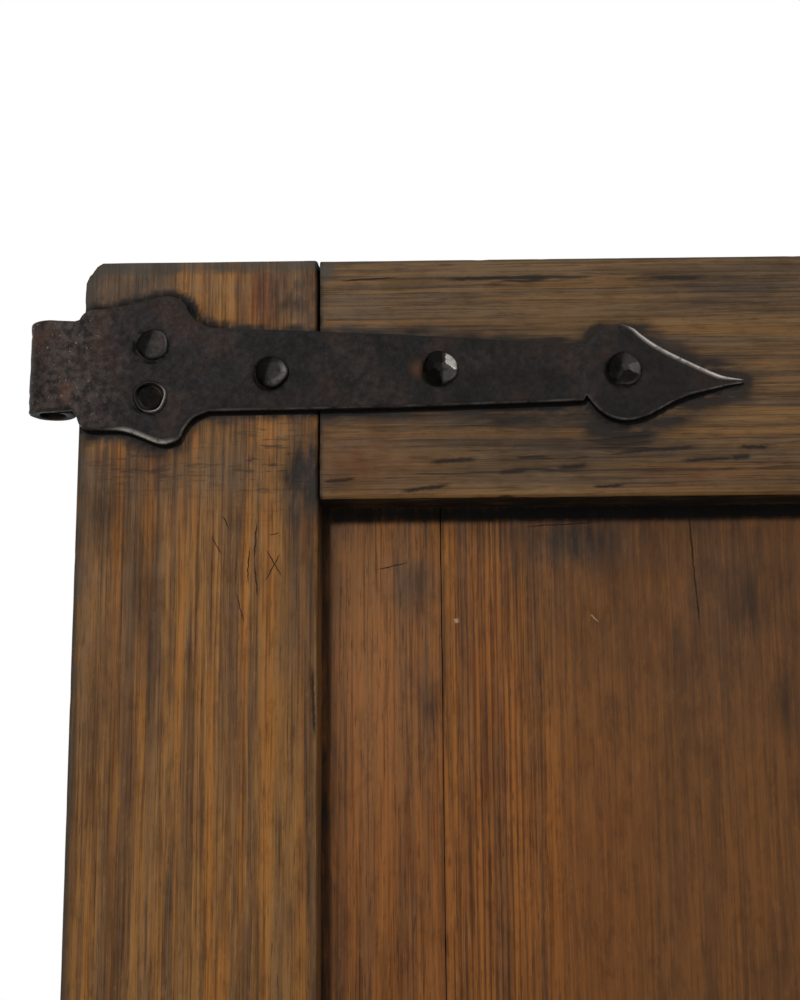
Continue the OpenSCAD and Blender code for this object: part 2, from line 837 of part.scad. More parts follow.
module latch_handle() {
    color(iron) difference() {
        union() {
            along_y(back_y, back_y + cusp_t) {
                translate([latch_x, grip_top_z]) cusp_outline();
                translate([latch_x, handle_low_z]) mirror([0, 1]) cusp_outline();
            }
            lever_ears();
            grip();
        }
        lever_slot();
        thumb_pin_bore(fit_gap / 2);
        place_handle_nails() small_nail_hole();
    }
}

module latch_handle_nails() {
    color(iron_nail) place_handle_nails() small_nail();
}

hinge_stile();
lock_stile();
rail_piece(top_rail_at);  // top_rail
rail_piece(lock_rail_at);  // lock_rail
rail_piece(bottom_rail_at);  // bottom_rail
upper_board(0);  // upper_panel_board_1
upper_board(1);  // upper_panel_board_2
upper_board(2);  // upper_panel_board_3
lower_board(0);  // lower_panel_board_1
lower_board(1);  // lower_panel_board_2
lower_board(2);  // lower_panel_board_3
rail_wedges(top_rail_at);  // top_rail_wedges
rail_wedges(lock_rail_at);  // lock_rail_wedges
rail_wedges(bottom_rail_at);  // bottom_rail_wedges
strap_hinge(upper_hinge_z);  // upper_strap_hinge
strap_hinge(lower_hinge_z);  // lower_strap_hinge
hinge_nails(upper_hinge_z);  // upper_hinge_nails
hinge_nails(lower_hinge_z);  // lower_hinge_nails
latch_bar();
latch_bar_knob();
latch_bar_plate();
latch_bar_rivet();
latch_staple();
latch_nails();
thumb_lever();
thumb_lever_pin();
latch_handle();
latch_handle_nails();
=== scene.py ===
"""Looks of the panel door: weathered boards, forged strap hinges, wrought nails and a thumb latch."""

import functools
import math

import bmesh
import bpy
import numpy as np
from mathutils import Matrix, Vector


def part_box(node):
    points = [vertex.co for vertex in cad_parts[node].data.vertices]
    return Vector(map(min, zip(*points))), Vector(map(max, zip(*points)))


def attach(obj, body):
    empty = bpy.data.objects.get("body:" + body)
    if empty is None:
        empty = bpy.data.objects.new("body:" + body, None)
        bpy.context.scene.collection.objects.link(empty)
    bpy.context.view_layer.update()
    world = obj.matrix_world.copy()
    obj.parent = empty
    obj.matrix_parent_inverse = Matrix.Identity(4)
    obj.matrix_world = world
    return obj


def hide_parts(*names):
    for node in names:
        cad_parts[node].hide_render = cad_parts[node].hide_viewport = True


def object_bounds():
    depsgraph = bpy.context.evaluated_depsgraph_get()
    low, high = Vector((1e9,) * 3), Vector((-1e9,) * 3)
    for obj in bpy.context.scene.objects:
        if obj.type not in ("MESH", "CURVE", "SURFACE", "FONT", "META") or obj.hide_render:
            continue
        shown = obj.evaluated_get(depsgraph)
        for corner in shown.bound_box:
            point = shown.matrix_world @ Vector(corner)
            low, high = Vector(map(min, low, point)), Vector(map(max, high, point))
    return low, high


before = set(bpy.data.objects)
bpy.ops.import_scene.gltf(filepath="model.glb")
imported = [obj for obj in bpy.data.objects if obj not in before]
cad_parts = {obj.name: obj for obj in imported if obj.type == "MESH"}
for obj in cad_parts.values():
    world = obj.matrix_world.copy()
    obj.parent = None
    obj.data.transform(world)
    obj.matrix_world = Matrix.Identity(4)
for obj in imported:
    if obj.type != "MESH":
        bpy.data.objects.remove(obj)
cad_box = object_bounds()

MM = 0.001

# Corners closer than this, in metres, are one
JOIN = 1e-6

# Cuts are moved by these, in millimetres, to keep off the edges that the part has
STEP_SHIFT = 0.013
ARRIS_SHIFT = 0.017

# Faces of wood that meet at more than this, in degrees, keep a sharp edge
WOOD_CREASE = 34


def box(node):
    """The two corners of a node's box, in millimetres."""
    return [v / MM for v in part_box(node)]


# Places read from the frame, in millimetres
stile_low, stile_high = box("hinge_stile")
lock_low, lock_high = box("lock_stile")
top_low, top_high = box("top_rail")
handle_low, handle_high = box("latch_handle")
LEAF_TOP = stile_high.z
LEAF_FOOT = stile_low.z
FRONT_Y = stile_low.y
BACK_Y = stile_high.y
OPENING_X0 = stile_high.x
OPENING_X1 = lock_low.x
PANEL_Y = box("upper_panel_board_1")[0].y
LATCH_X = (handle_low.x + handle_high.x) / 2
LATCH_Z = (handle_low.z + handle_high.z) / 2

# How far the photograph shows the leaf, in X and down from its top
SEEN_X = 368
SEEN_DOWN = 345

# Room left at a rail's shoulders
SHOULDER_GAP = 0.4

# The forged strap, as in the part's source, from the eye's middle
EYE_R = 11.0
STRAP_T = 5.0
EYE_H = 43.0
EYE_LIP = 0.6
EYE_BULGE = 0.2
LAP_GAP = 0.4
CURL_L = 47.0
HEAD_X = 13.0
HEAD_L = 60.0
HEAD_H = 69.0
NECK_W = 39.5
STRAP_L = 170.0
STRAP_MID_W = 34.5
STRAP_END_W = 26.5
SPEAR_L = 73.0
SPEAR_W = 45.0
TIP_W = 1.6
HEAD_DROP = 2.6
SPEAR_DROP = 6.1
TIP_DROP = 4.4
NECK_X = HEAD_X + HEAD_L
SPEAR_X = NECK_X + STRAP_L
TIP_X = SPEAR_X + SPEAR_L
UPPER_EYE_Z = LEAF_TOP - 50.0
LOWER_EYE_Z = LEAF_FOOT + 100.0
HEAD_TOP = (
    (0.00, 0.70), (0.07, 0.82), (0.30, 0.87), (0.62, 1.00), (0.73, 0.99),
    (0.80, 0.91), (0.85, 0.76), (0.92, 0.64),
)
HEAD_LOW = (
    (0.00, 0.63), (0.07, 0.80), (0.36, 0.83), (0.62, 1.00), (0.73, 0.99),
    (0.79, 0.93), (0.825, 0.80), (0.89, 0.66),
)
SPEAR_TOP = (
    (0.02, 0.58), (0.08, 0.78), (0.15, 0.94), (0.24, 1.00), (0.32, 0.92),
    (0.37, 0.79), (0.46, 0.57), (0.60, 0.31), (0.74, 0.09), (0.87, -0.08),
)
SPEAR_LOW = (
    (0.02, 0.48), (0.06, 0.66), (0.10, 0.80), (0.17, 0.94), (0.27, 1.00),
    (0.39, 0.91), (0.55, 0.64), (0.66, 0.49), (0.79, 0.38), (0.90, 0.29),
)


# Numbers


def smoothstep(low, high, v):
    t = np.clip((v - low) / (high - low), 0, 1)
    return t * t * (3 - 2 * t)


def bell(v, width):
    """1 where v is zero, falling softly to 0 on both sides."""
    return np.exp(-(v / width) ** 2)


def most(*values):
    """The largest of several values at each place."""
    return functools.reduce(np.maximum, values)


def lattice(cell, seed):
    """A fixed number from 0 to 1 for each whole-number cell."""
    mask = 0xFFFFFFFF
    mixed = (cell[:, 0] * 73856093) ^ (cell[:, 1] * 19349663) ^ (cell[:, 2] * 83492791)
    mixed = (mixed ^ (seed * 2654435761)) & mask
    mixed = ((mixed ^ (mixed >> 15)) * 2246822519) & mask
    mixed = ((mixed ^ (mixed >> 13)) * 3266489917) & mask
    return ((mixed ^ (mixed >> 16)) & 0xFFFFFF) / 0xFFFFFF


def noise(points, size, seed):
    """Smooth noise from -1 to 1, with features about size across along each axis."""
    scaled = points / np.asarray(size, float)
    cell = np.floor(scaled).astype(np.int64)
    part = scaled - cell
    part = part * part * (3 - 2 * part)
    total = np.zeros(len(points))
    for corner in np.ndindex(2, 2, 2):
        weight = np.ones(len(points))
        for axis in range(3):
            weight *= part[:, axis] if corner[axis] else 1 - part[:, axis]
        total += weight * lattice(cell + np.array(corner), seed)
    return total * 2 - 1


def curve(points, steps):
    """A smooth line through the points."""
    p = [np.array(v, float) for v in points]
    line = []
    for i in range(len(p) - 1):
        a, b, c, d = p[max(i - 1, 0)], p[i], p[i + 1], p[min(i + 2, len(p) - 1)]
        for k in range(steps):
            t = k / steps
            line.append(
                b
                + (c - a) * t / 2
                + (2 * a - 5 * b + 4 * c - d) * t * t / 2
                + (3 * b - a - 3 * c + d) * t ** 3 / 2
            )
    line.append(p[-1])
    return line


def straight(a, b, count):
    """Points from a up to, but not at, b."""
    a, b = np.array(a, float), np.array(b, float)
    return [a + (b - a) * k / count for k in range(count)]


def distance_to_line(points, outline):
    """Distance from each point to a closed outline, negative inside it."""
    best = np.full(len(points), 1e9)
    inside = np.zeros(len(points), bool)
    for a, b in zip(outline, np.roll(outline, -1, axis=0)):
        along = b - a
        t = np.clip((points - a) @ along / max(along @ along, 1e-12), 0, 1)
        best = np.minimum(best, np.linalg.norm(points - a - t[:, None] * along, axis=1))
        crosses = (a[1] > points[:, 1]) != (b[1] > points[:, 1])
        rise = b[1] - a[1] if b[1] != a[1] else 1e-12
        inside ^= crosses & (points[:, 0] < a[0] + (points[:, 1] - a[1]) * (b[0] - a[0]) / rise)
    return np.where(inside, -best, best)


# Meshes


def placed(name, data):
    """A new object in the scene."""
    thing = bpy.data.objects.new(name, data)
    bpy.context.collection.objects.link(thing)
    return thing


def add_piece(node, mesh, body, slot):
    """Shows a mesh in place of a node, on its body and in its slot's material."""
    piece = placed(node + "_detail", mesh)
    mesh.materials.clear()
    mesh.materials.append(MATERIALS[slot])
    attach(piece, body)
    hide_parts(node)


def loaded(node):
    """A node's mesh to work on, with its corners joined."""
    work = bmesh.new()
    work.from_mesh(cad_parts[node].data)
    bmesh.ops.remove_doubles(work, verts=work.verts, dist=JOIN)
    return work


def detail(work, node):
    """The new mesh that stands for a node, from what was worked on."""
    mesh = bpy.data.meshes.new(node + "_detail")
    work.to_mesh(mesh)
    work.free()
    return mesh


def read(mesh, name):
    """One vector for each corner of a mesh."""
    flat = np.empty(len(mesh.vertices) * 3, np.float32)
    mesh.vertices.foreach_get(name, flat)
    return flat.reshape(-1, 3).astype(float)


def coordinates(mesh):
    return read(mesh, "co") / MM


def set_coordinates(mesh, points):
    mesh.vertices.foreach_set("co", (points * MM).astype(np.float32).ravel())
    mesh.update()


def finish(mesh, degrees, **layers):
    """Gives a mesh its layers of looks, and shades it smooth except at edges sharper than this."""
    for name, values in layers.items():
        layer = mesh.attributes.new(name, "FLOAT", "POINT")
        layer.data.foreach_set("value", np.clip(values, 0, 1).astype(np.float32))
    mesh.shade_smooth()
    mesh.set_sharp_from_angle(angle=math.radians(degrees))
    return mesh


def cut(work, faces, axis, places):
    """Cuts the faces with planes square to one axis, halving the list each time."""
    if not places or not faces:
        return
    middle = len(places) // 2
    normal = [float(k == axis) for k in range(3)]
    at = [places[middle] * v for v in normal]
    geometry = set(faces)
    for face in faces:
        geometry.update(face.edges)
        geometry.update(face.verts)
    made = bmesh.ops.bisect_plane(work, geom=list(geometry), dist=JOIN, plane_co=at, plane_no=normal)
    left = [g for g in made["geom"] if isinstance(g, bmesh.types.BMFace)]
    low = []
    high = []
    for face in left:
        (low if face.calc_center_median()[axis] < at[axis] else high).append(face)
    cut(work, low, axis, places[:middle])
    cut(work, high, axis, places[middle + 1:])


def refined(node, *places):
    """A copy of a node's mesh, cut along planes at these places on X, Y and Z."""
    work = loaded(node)
    bmesh.ops.dissolve_limit(work, angle_limit=math.radians(0.5), verts=work.verts, edges=work.edges)
    for axis in (2, 0, 1):
        cut(work, list(work.faces), axis, [v * MM for v in places[axis]])
    return detail(work, node)


def steps(low, high, fine, coarse=0.0, fine_low=-math.inf, fine_high=math.inf):
    """Places between two ends, close together in one stretch, or all the way, and apart elsewhere."""
    places = []
    at = low
    while at < high:
        places.append(at)
        at += fine if fine_low <= at < fine_high else coarse
    return [v + STEP_SHIFT for v in places[1:]]


def arris_steps(low, high, middle):
    """Places across a face, closer together near both of its edges."""
    near = (0.5, 1.1, 2.2, 3.8, 6.0)
    places = [low + v for v in near] + [high - v for v in near]
    count = max(1, round((high - low - 2 * near[-1]) / middle))
    places += [low + near[-1] + (high - low - 2 * near[-1]) * k / count for k in range(1, count)]
    return sorted(v + ARRIS_SHIFT for v in places)


# Materials


def srgb(*values):
    """A colour written in the usual 0 to 255 steps."""
    linear = [v / 255 / 12.92 if v <= 10 else ((v / 255 + 0.055) / 1.055) ** 2.4 for v in values]
    return (*linear, 1.0)


# Strokes, in metres: how far they stray, and the width from which their edges are soft.
# Their depth in Y counts for less, so that they also show on worn faces
STRAY = 0.0011
WIDE_MARK = 0.0006
DEPTH_SHARE = 0.1


class Shader:
    """The nodes of one material, or of the world, and short calls that add to them."""

    def __init__(self, owner):
        self.owner = owner
        owner.use_nodes = True
        self.tree = owner.node_tree
        self.tree.nodes.clear()
        self.place = self.add("TexCoord").outputs["Object"]
        self.colour = None

    def add(self, kind, inputs=None, **settings):
        node = self.tree.nodes.new("ShaderNode" + kind)
        for key, value in settings.items():
            setattr(node, key, value)
        for key, value in (inputs or {}).items():
            if isinstance(value, bpy.types.NodeSocket):
                self.tree.links.new(value, node.inputs[key])
            else:
                node.inputs[key].default_value = value
        return node

    def stretched(self, scale, shift=(0, 0, 0)):
        inputs = {"Vector": self.place, "Scale": scale, "Location": shift}
        return self.add("Mapping", inputs).outputs["Vector"]

    def noise(self, vector, scale, detail=3.0, rough=0.55, bend=0.0):
        inputs = {"Vector": vector, "Scale": scale, "Detail": detail, "Roughness": rough, "Distortion": bend}
        return self.add("TexNoise", inputs).outputs["Fac"]

    def math(self, kind, a, b=0.0, clamp=True):
        return self.add("Math", {0: a, 1: b}, operation=kind, use_clamp=clamp).outputs[0]

    def times(self, a, b):
        return self.math("MULTIPLY", a, b)

    def spread(self, value, low, high, to_low=0.0, to_high=1.0):
        inputs = {0: value, 1: low, 2: high, 3: to_low, 4: to_high}
        return self.add("MapRange", inputs, interpolation_type="SMOOTHSTEP").outputs[0]

    def ramp(self, value, stops):
        node = self.add("ValToRGB", {"Fac": value})
        band = node.color_ramp
        while len(band.elements) < len(stops):
            band.elements.new(0.5)
        for element, (at, colour) in zip(band.elements, stops):
            element.position = at
            element.color = colour
        return node.outputs["Color"]

    def mix(self, share, a, b, kind="MIX"):
        inputs = {0: share, 6: a, 7: b}
        return self.add("Mix", inputs, data_type="RGBA", blend_type=kind).outputs[2]

    def coat(self, share, tint, kind="MIX"):
        """Lays a tint over the colour so far."""
        self.colour = self.mix(share, self.colour, tint, kind)

    def value(self, name):
        return self.add("Attribute", attribute_name=name).outputs["Fac"]

    def layer(self, name, field, low, high, to_low=0.0, to_high=1.0):
        """A mesh's layer of looks, broken up by a field."""
        return self.times(self.value(name), self.spread(field, low, high, to_low, to_high))

    def bump(self, height, strength, distance):
        inputs = {"Height": height, "Strength": strength, "Distance": distance}
        return self.add("Bump", inputs).outputs["Normal"]

    def strokes(self, marks, sign):
        """Where thin ragged lines run, each from one point to another; sign picks dark or pale ones."""
        chosen = [mark for mark in marks if mark[2] * sign > 0]
        if not chosen:
            return 0.0
        flat = self.vector("MULTIPLY", self.place, (1, DEPTH_SHARE, 1))
        ragged = self.add("TexNoise", {"Vector": self.place, "Scale": 420.0}).outputs["Color"]
        flat = self.vector("ADD", flat, self.vector("MULTIPLY", ragged, (STRAY, 0, STRAY)))
        inked = 0.0
        offset = Vector((STRAY / 2, 0, STRAY / 2))
        for start, end, width in chosen:
            start = Vector((start.x, start.y * DEPTH_SHARE, start.z)) + offset
            run = Vector((end.x, end.y * DEPTH_SHARE, end.z)) + offset - start
            away = self.vector("SUBTRACT", flat, start)
            share = self.times(self.vector("DOT_PRODUCT", away, run / run.length_squared), 1.0)
            nearest = self.vector("SCALE", run, share)
            gap = self.vector("LENGTH", self.vector("SUBTRACT", away, nearest))
            outer, inner = (1.7, 0.0) if abs(width) > WIDE_MARK else (0.9, 0.25)
            stroke = self.spread(gap, abs(width) * outer, abs(width) * inner)
            from_middle = self.math("ABSOLUTE", self.math("SUBTRACT", share, 0.5, False))
            ends = self.spread(from_middle, 0.5, 0.25)
            inked = self.math("MAXIMUM", inked, self.times(stroke, ends))
        return inked

    def vector(self, kind, a, b=None):
        inputs = {0: a}
        if b is not None:
            inputs["Scale" if kind == "SCALE" else 1] = b
        node = self.add("VectorMath", inputs, operation=kind)
        return node.outputs["Value" if kind in ("DOT_PRODUCT", "LENGTH") else "Vector"]

    def finish(self, inputs, kind="BsdfPrincipled", output="OutputMaterial"):
        shader = self.add(kind, inputs)
        self.tree.links.new(shader.outputs[0], self.add(output).inputs["Surface"])
        return self.owner


def wood(name, upright, palette, shift, splits, marks=()):
    """Old pine with a dark wax finish; the grain runs along Z if upright, else along X."""
    s = Shader(bpy.data.materials.new(name))

    def along(length):
        return s.stretched((1, 1, length) if upright else (length, 1, 1), shift)

    wander = s.noise(along(0.3), 8.0, 2.0)
    band = s.noise(along(0.09), 70.0, 3.0, 0.6, 0.5)
    streak = s.noise(along(0.024), 430.0, 4.0, 0.7, 0.5)
    line = s.noise(along(0.015), 900.0, 3.0, 0.65, 0.3)
    pore = s.noise(along(0.06), 1250.0, 2.0, 0.5)
    smear = s.noise(s.place, 60.0, 4.0, 0.65)
    mottle = s.noise(along(0.4), 210.0, 4.0, 0.7)
    tone = s.noise(along(0.018), 170.0, 2.0, 0.5, 0.4)
    lively = s.spread(s.value("calm"), 0.0, 1.0, 1.0, 0.3)
    s.colour = s.ramp(
        s.spread(streak, 0.24, 0.76),
        [
            (0.0, palette["dark"]), (0.30, palette["brown"]), (0.44, palette["brown"]),
            (0.55, palette["tan"]), (0.76, palette["tan"]), (0.94, palette["light"]),
        ],
    )
    s.coat(s.times(s.spread(tone, 0.52, 0.64, 0.0, 0.6), lively), palette["gold"])
    s.coat(s.times(s.spread(tone, 0.48, 0.36, 0.0, 0.55), lively), palette["ash"])
    s.coat(s.times(s.value("calm"), 0.55), palette["brown"])
    s.coat(s.spread(band, 0.47, 0.66, 0.0, 0.6), palette["shade"])
    s.coat(s.spread(wander, 0.50, 0.72, 0.0, 0.5), palette["glow"])
    for name, stain, reach in (
        ("warm", palette["warm"], 0.8),
        ("grey", srgb(84, 77, 68), 0.9),
        ("gold", srgb(158, 116, 58), 0.7),
        ("pale", srgb(150, 120, 82), 0.9),
    ):
        share = s.layer(name, smear, 0.2, 0.6, 0.5, 1.0)
        s.coat(s.times(share, reach), s.mix(0.55, stain, s.colour, "OVERLAY"))
    s.coat(s.times(s.spread(line, 0.50, 0.62, 0.0, 0.58), lively), palette["line"], "MULTIPLY")
    s.coat(s.spread(mottle, 0.48, 0.68, 0.0, 0.32), palette["line"], "MULTIPLY")
    s.coat(s.spread(mottle, 0.44, 0.30, 0.0, 0.22), palette["light"])
    s.coat(s.spread(line, 0.44, 0.28, 0.0, 0.3), palette["light"])
    s.coat(s.times(s.spread(pore, 0.60, 0.72, 0.0, 0.55), lively), palette["pore"])
    inputs = {"Vector": along(0.08), "Scale": 118.0, "Distortion": 2.2, "Detail": 2.0, "Detail Scale": 0.25}
    waves = s.add("TexWave", inputs, wave_type="BANDS", bands_direction="X").outputs["Fac"]
    reeds = s.layer("reeds", waves, 0.62, 0.95, 0.0, 0.6)
    s.coat(reeds, palette["pore"])
    least = 0.61 - 0.07 * max(splits - 0.5, 0.0)
    lens = s.layer("splits", s.noise(along(0.075), 170.0, 3.0, 0.7), least, least + 0.07, 0.0, splits)
    s.coat(lens, srgb(25, 20, 17))
    crosswise = s.stretched((0.14, 1, 1) if upright else (1, 1, 0.14), shift)
    ticks = s.layer("ticks", s.noise(crosswise, 620.0, 2.0, 0.6), 0.55, 0.66)
    s.coat(ticks, srgb(44, 36, 30))
    cracks, scores = s.strokes(marks, 1), s.strokes(marks, -1)
    s.coat(cracks, srgb(24, 18, 15))
    s.coat(scores, srgb(150, 128, 100))
    # Dirt, and painted shade where the layer also holds it.
    smudge = s.noise(along(0.2), 260.0, 4.0, 0.6)
    s.coat(s.layer("dirt_and_shade", smudge, 0.25, 0.6, 0.45, 1.3), srgb(31, 25, 20))
    s.coat(s.layer("soot_and_shade", mottle, 0.62, 0.34, 0.6, 1.0), srgb(56, 53, 46))
    # Near black where that layer is fullest: the painted shadow along and under the straps and beside the
    # upper hinge's head.
    s.coat(s.spread(s.value("dirt_and_shade"), 0.88, 0.99), srgb(14, 11, 9))
    relief = s.math("ADD", s.math("ADD", s.times(streak, 0.4), s.times(line, -0.4)), 0.4)
    for dent, depth in ((pore, 0.12), (lens, 0.5), (ticks, 0.2), (cracks, 0.5), (reeds, 0.25)):
        relief = s.math("SUBTRACT", relief, s.times(dent, depth))
    return s.finish({
        "Base Color": s.colour,
        "Roughness": s.spread(smear, 0.3, 0.7, 0.5, 0.68),
        "Specular IOR Level": 0.1,
        "Normal": s.bump(relief, 0.6, 0.0010),
    })


def iron(name, tint, rough):
    """Waxed wrought iron: dark scale, rust where it lay, burnished edges with painted glints, and painted
    shade.
    """
    s = Shader(bpy.data.materials.new(name))
    broad = s.noise(s.place, 38.0, 4.0, 0.6)
    fine = s.noise(s.place, 420.0, 4.0, 0.7)
    grit = s.noise(s.place, 1300.0, 2.0, 0.6)
    s.colour = s.ramp(
        s.spread(broad, 0.3, 0.7),
        [(0.0, srgb(*(v * 0.8 for v in tint))), (0.55, srgb(*tint)), (1.0, srgb(34, 25, 21))],
    )
    patches = s.noise(s.place, 130.0, 3.0, 0.65)
    s.coat(s.spread(patches, 0.52, 0.68, 0.0, 0.35), srgb(22, 24, 28))
    rust = s.layer("rust", s.noise(s.place, 260.0, 4.0, 0.7), 0.36, 0.64)
    s.coat(rust, srgb(39, 27, 21))
    s.coat(s.layer("stain", fine, 0.35, 0.6, 0.3, 1.0), srgb(74, 45, 26))
    worn = s.layer("worn", fine, 0.30, 0.52, 0.35, 1.0)
    s.coat(worn, srgb(168, 162, 155))
    coarse = s.noise(s.place, 560.0, 3.0, 0.6)
    specks = s.math("MAXIMUM", s.spread(grit, 0.70, 0.78, 0.0, 0.5), s.spread(coarse, 0.63, 0.70))
    clusters = s.noise(s.place, 170.0, 2.0, 0.5)
    specks = s.times(s.layer("pits", clusters, 0.42, 0.56, 0.12, 1.0), specks)
    s.coat(specks, srgb(160, 146, 133))
    # Near black where soot and painted shade lie; the metallic below rises with it, so that these places
    # lose their sheen.
    s.coat(s.value("soot_and_shade"), srgb(6, 6, 5))
    height = s.math("ADD", s.times(fine, 0.5), s.times(broad, 0.4))
    height = s.math("SUBTRACT", height, s.times(specks, 0.3))
    dull = s.spread(fine, 0.3, 0.7, rough - 0.06, rough + 0.08)
    bare = s.spread(rust, 0.0, 1.0, 0.75, 0.2)
    return s.finish({
        "Base Color": s.colour,
        "Metallic": s.math("MAXIMUM", bare, s.spread(s.value("soot_and_shade"), 0.0, 0.7)),
        "Roughness": s.math("SUBTRACT", dull, s.times(worn, 0.28)),
        "Specular IOR Level": 0.25,
        "Normal": s.bump(height, 0.3, 0.0006),
    })


COLOUR_NAMES = ("dark", "brown", "tan", "light", "shade", "glow", "warm", "gold", "ash")


def wood_colours(*colours):
    """The colours of one wood by name, with the tint of its grain lines and pores."""
    named = {name: srgb(*colour) for name, colour in zip(COLOUR_NAMES, colours)}
    return named | {"line": srgb(150, 140, 134), "pore": srgb(36, 26, 20)}


# Cracks and scratches seen on the front: X, depth below the top, X, depth, width; pale if negative
STILE_MARKS = (
    (99.0, 134.7, 107.1, 148.3, 0.35), (106.2, 136.6, 98.7, 150.5, 0.35), (100.3, 128.8, 105.7, 128.0, 0.3),
    (95.3, 122.0, 94.1, 140.1, 0.55), (94.1, 140.1, 96.1, 158.1, 0.4), (92.2, 133.3, 91.1, 151.3, 0.4),
    (74.7, 128.6, 79.7, 138.1, 0.35), (79.5, 119.5, 83.2, 126.4, 0.35), (85.8, 153.5, 90.4, 169.2, 0.3),
    (120.2, 184.9, 121.6, 222.0, 0.7),
)
RAIL_MARKS = (
    (254.0, 92.6, 299.0, 90.5, 1.05), (311.0, 90.7, 328.0, 90.9, 1.0), (284.0, 97.0, 314.0, 95.6, 0.85),
    (307.5, 95.8, 319.0, 95.0, 1.3), (230.0, 99.8, 245.5, 98.2, 1.2), (171.0, 96.4, 197.0, 95.0, 1.0),
    (203.0, 101.7, 219.0, 100.2, 0.9), (158.0, 110.0, 184.0, 106.6, 0.9), (178.8, 10.3, 215.8, 9.3, 0.7),
    (274.0, 10.5, 301.0, 10.8, 0.9), (250.2, 86.8, 277.3, 85.3, 0.7), (131.0, 10.2, 161.0, 8.8, 0.5),
    (124.0, 105.0, 141.0, 103.5, 0.7), (245.0, 108.5, 262.0, 107.8, 0.7),
)
PANEL_MARKS = (
    (292.8, 114.0, 294.0, 146.0, 0.6), (293.4, 134.0, 295.8, 172.0, 0.5), (148.0, 142.1, 163.7, 138.5, 0.35),
    (214.7, 122.6, 251.7, 120.7, 0.35), (245.7, 163.3, 249.7, 167.0, -0.5),
    (184.4, 164.5, 184.9, 167.0, -0.9),
)


def on_face(marks, y):
    """Marks in metres, on a face at this depth."""
    return [
        (Vector((x0, y, LEAF_TOP - d0)) * MM, Vector((x1, y, LEAF_TOP - d1)) * MM, width * MM)
        for x0, d0, x1, d1, width in marks
    ]


STILE_COLOURS = wood_colours(
    (66, 45, 27), (98, 67, 37), (123, 85, 44), (142, 101, 55), (76, 52, 33), (128, 85, 38), (114, 59, 34),
    (148, 93, 36), (91, 72, 54),
)
RAIL_COLOURS = wood_colours(
    (54, 41, 29), (79, 59, 39), (98, 73, 46), (113, 86, 55), (62, 47, 34), (104, 74, 41), (114, 69, 36),
    (114, 81, 43), (82, 67, 52),
)
PANEL_COLOURS = wood_colours(
    (67, 43, 24), (96, 61, 31), (120, 76, 36), (137, 89, 42), (80, 53, 30), (128, 79, 34), (158, 96, 38),
    (140, 89, 36), (86, 63, 44),
)
stile_marks = on_face(STILE_MARKS, FRONT_Y)
rail_marks = on_face(RAIL_MARKS, FRONT_Y)
panel_marks = on_face(PANEL_MARKS, PANEL_Y)
MATERIALS = {
    "stile_wood": wood("stile_wood", True, STILE_COLOURS, (0.31, 0.0, 0.0), 0.5, stile_marks),
    "rail_wood": wood("rail_wood", False, RAIL_COLOURS, (0.0, 0.2, 0.53), 1.0, rail_marks),
    "panel_wood": wood("panel_wood", True, PANEL_COLOURS, (0.77, 0.1, 0.0), 0.4, panel_marks),
    "wedge_wood": wood("wedge_wood", False, RAIL_COLOURS, (0.1, 0.6, 0.2), 0.5),
    "forged_iron": iron("forged_iron", (21, 18.5, 17.5), 0.62),
    "nail_iron": iron("nail_iron", (21, 20, 19), 0.54),
}


# Wooden pieces


def strap_edges(count):
    """The strap's top and bottom edges, with as many points in each."""

    def head(share, side):
        return (HEAD_X + HEAD_L * share[0], side * HEAD_H / 2 * share[1] - HEAD_DROP)

    def spear(share, side):
        return (SPEAR_X + SPEAR_L * share[0], side * SPEAR_W / 2 * share[1] - SPEAR_DROP)

    edges = []
    for side, head_shares, spear_shares in ((1, HEAD_TOP, SPEAR_TOP), (-1, HEAD_LOW, SPEAR_LOW)):
        root = side * (EYE_H / 2 - EYE_LIP)
        neck = (NECK_X, side * NECK_W / 2 - HEAD_DROP)
        middle = (NECK_X + STRAP_L / 2, side * STRAP_MID_W / 2 - (HEAD_DROP + SPEAR_DROP) / 2)
        start = (SPEAR_X, side * STRAP_END_W / 2 - SPEAR_DROP)
        tip = (TIP_X, side * TIP_W / 2 - SPEAR_DROP - TIP_DROP)
        line = straight((0, side * EYE_H / 2), (EYE_R, root), 4 * count)
        line += straight((EYE_R, root), head(head_shares[0], side), count)
        line += curve([head(s, side) for s in head_shares] + [neck], 2 * count)[:-1]
        line += straight(neck, middle, 20 * count)
        line += straight(middle, start, 20 * count)
        line += straight(start, spear(spear_shares[0], side), count)
        line += curve([spear(s, side) for s in spear_shares] + [tip], 2 * count)
        edges.append(line)
    return edges


# The strap in X and Z from the eye's middle; its outline goes out along the top and back below
TOP_EDGE, LOW_EDGE = strap_edges(3)
OUTLINE = np.array(TOP_EDGE + LOW_EDGE[::-1])

# How far the straps' shade lies from them, and how far their dirt reaches up and down
SHADE_SHIFT = (0.9, 2.0)
STRAP_REACH = 70


def dabs(x, d, *marks):
    """Soft spots on a face: how strong, where in X and below the leaf's top, how wide and how tall."""
    return sum(
        strength * np.exp(-(((x - at_x) / wide) ** 2 + ((d - at_d) / tall) ** 2))
        for strength, at_x, at_d, wide, tall in marks
    )


def strap_and_shadow_gap(points):
    """Distance of each place on the front from the nearest strap's outline or from its painted shadow below
    it, large elsewhere.
    """
    gap = np.full(len(points), 1e3)
    for z in (UPPER_EYE_Z, LOWER_EYE_Z):
        near = (np.abs(points[:, 2] - z) < STRAP_REACH) & (points[:, 1] < FRONT_Y + 6)
        if near.any():
            flat = points[near][:, (0, 2)] - (0, z)
            below = distance_to_line(flat + SHADE_SHIFT, OUTLINE)
            gap[near] = np.minimum(distance_to_line(flat, OUTLINE), below)
    return gap


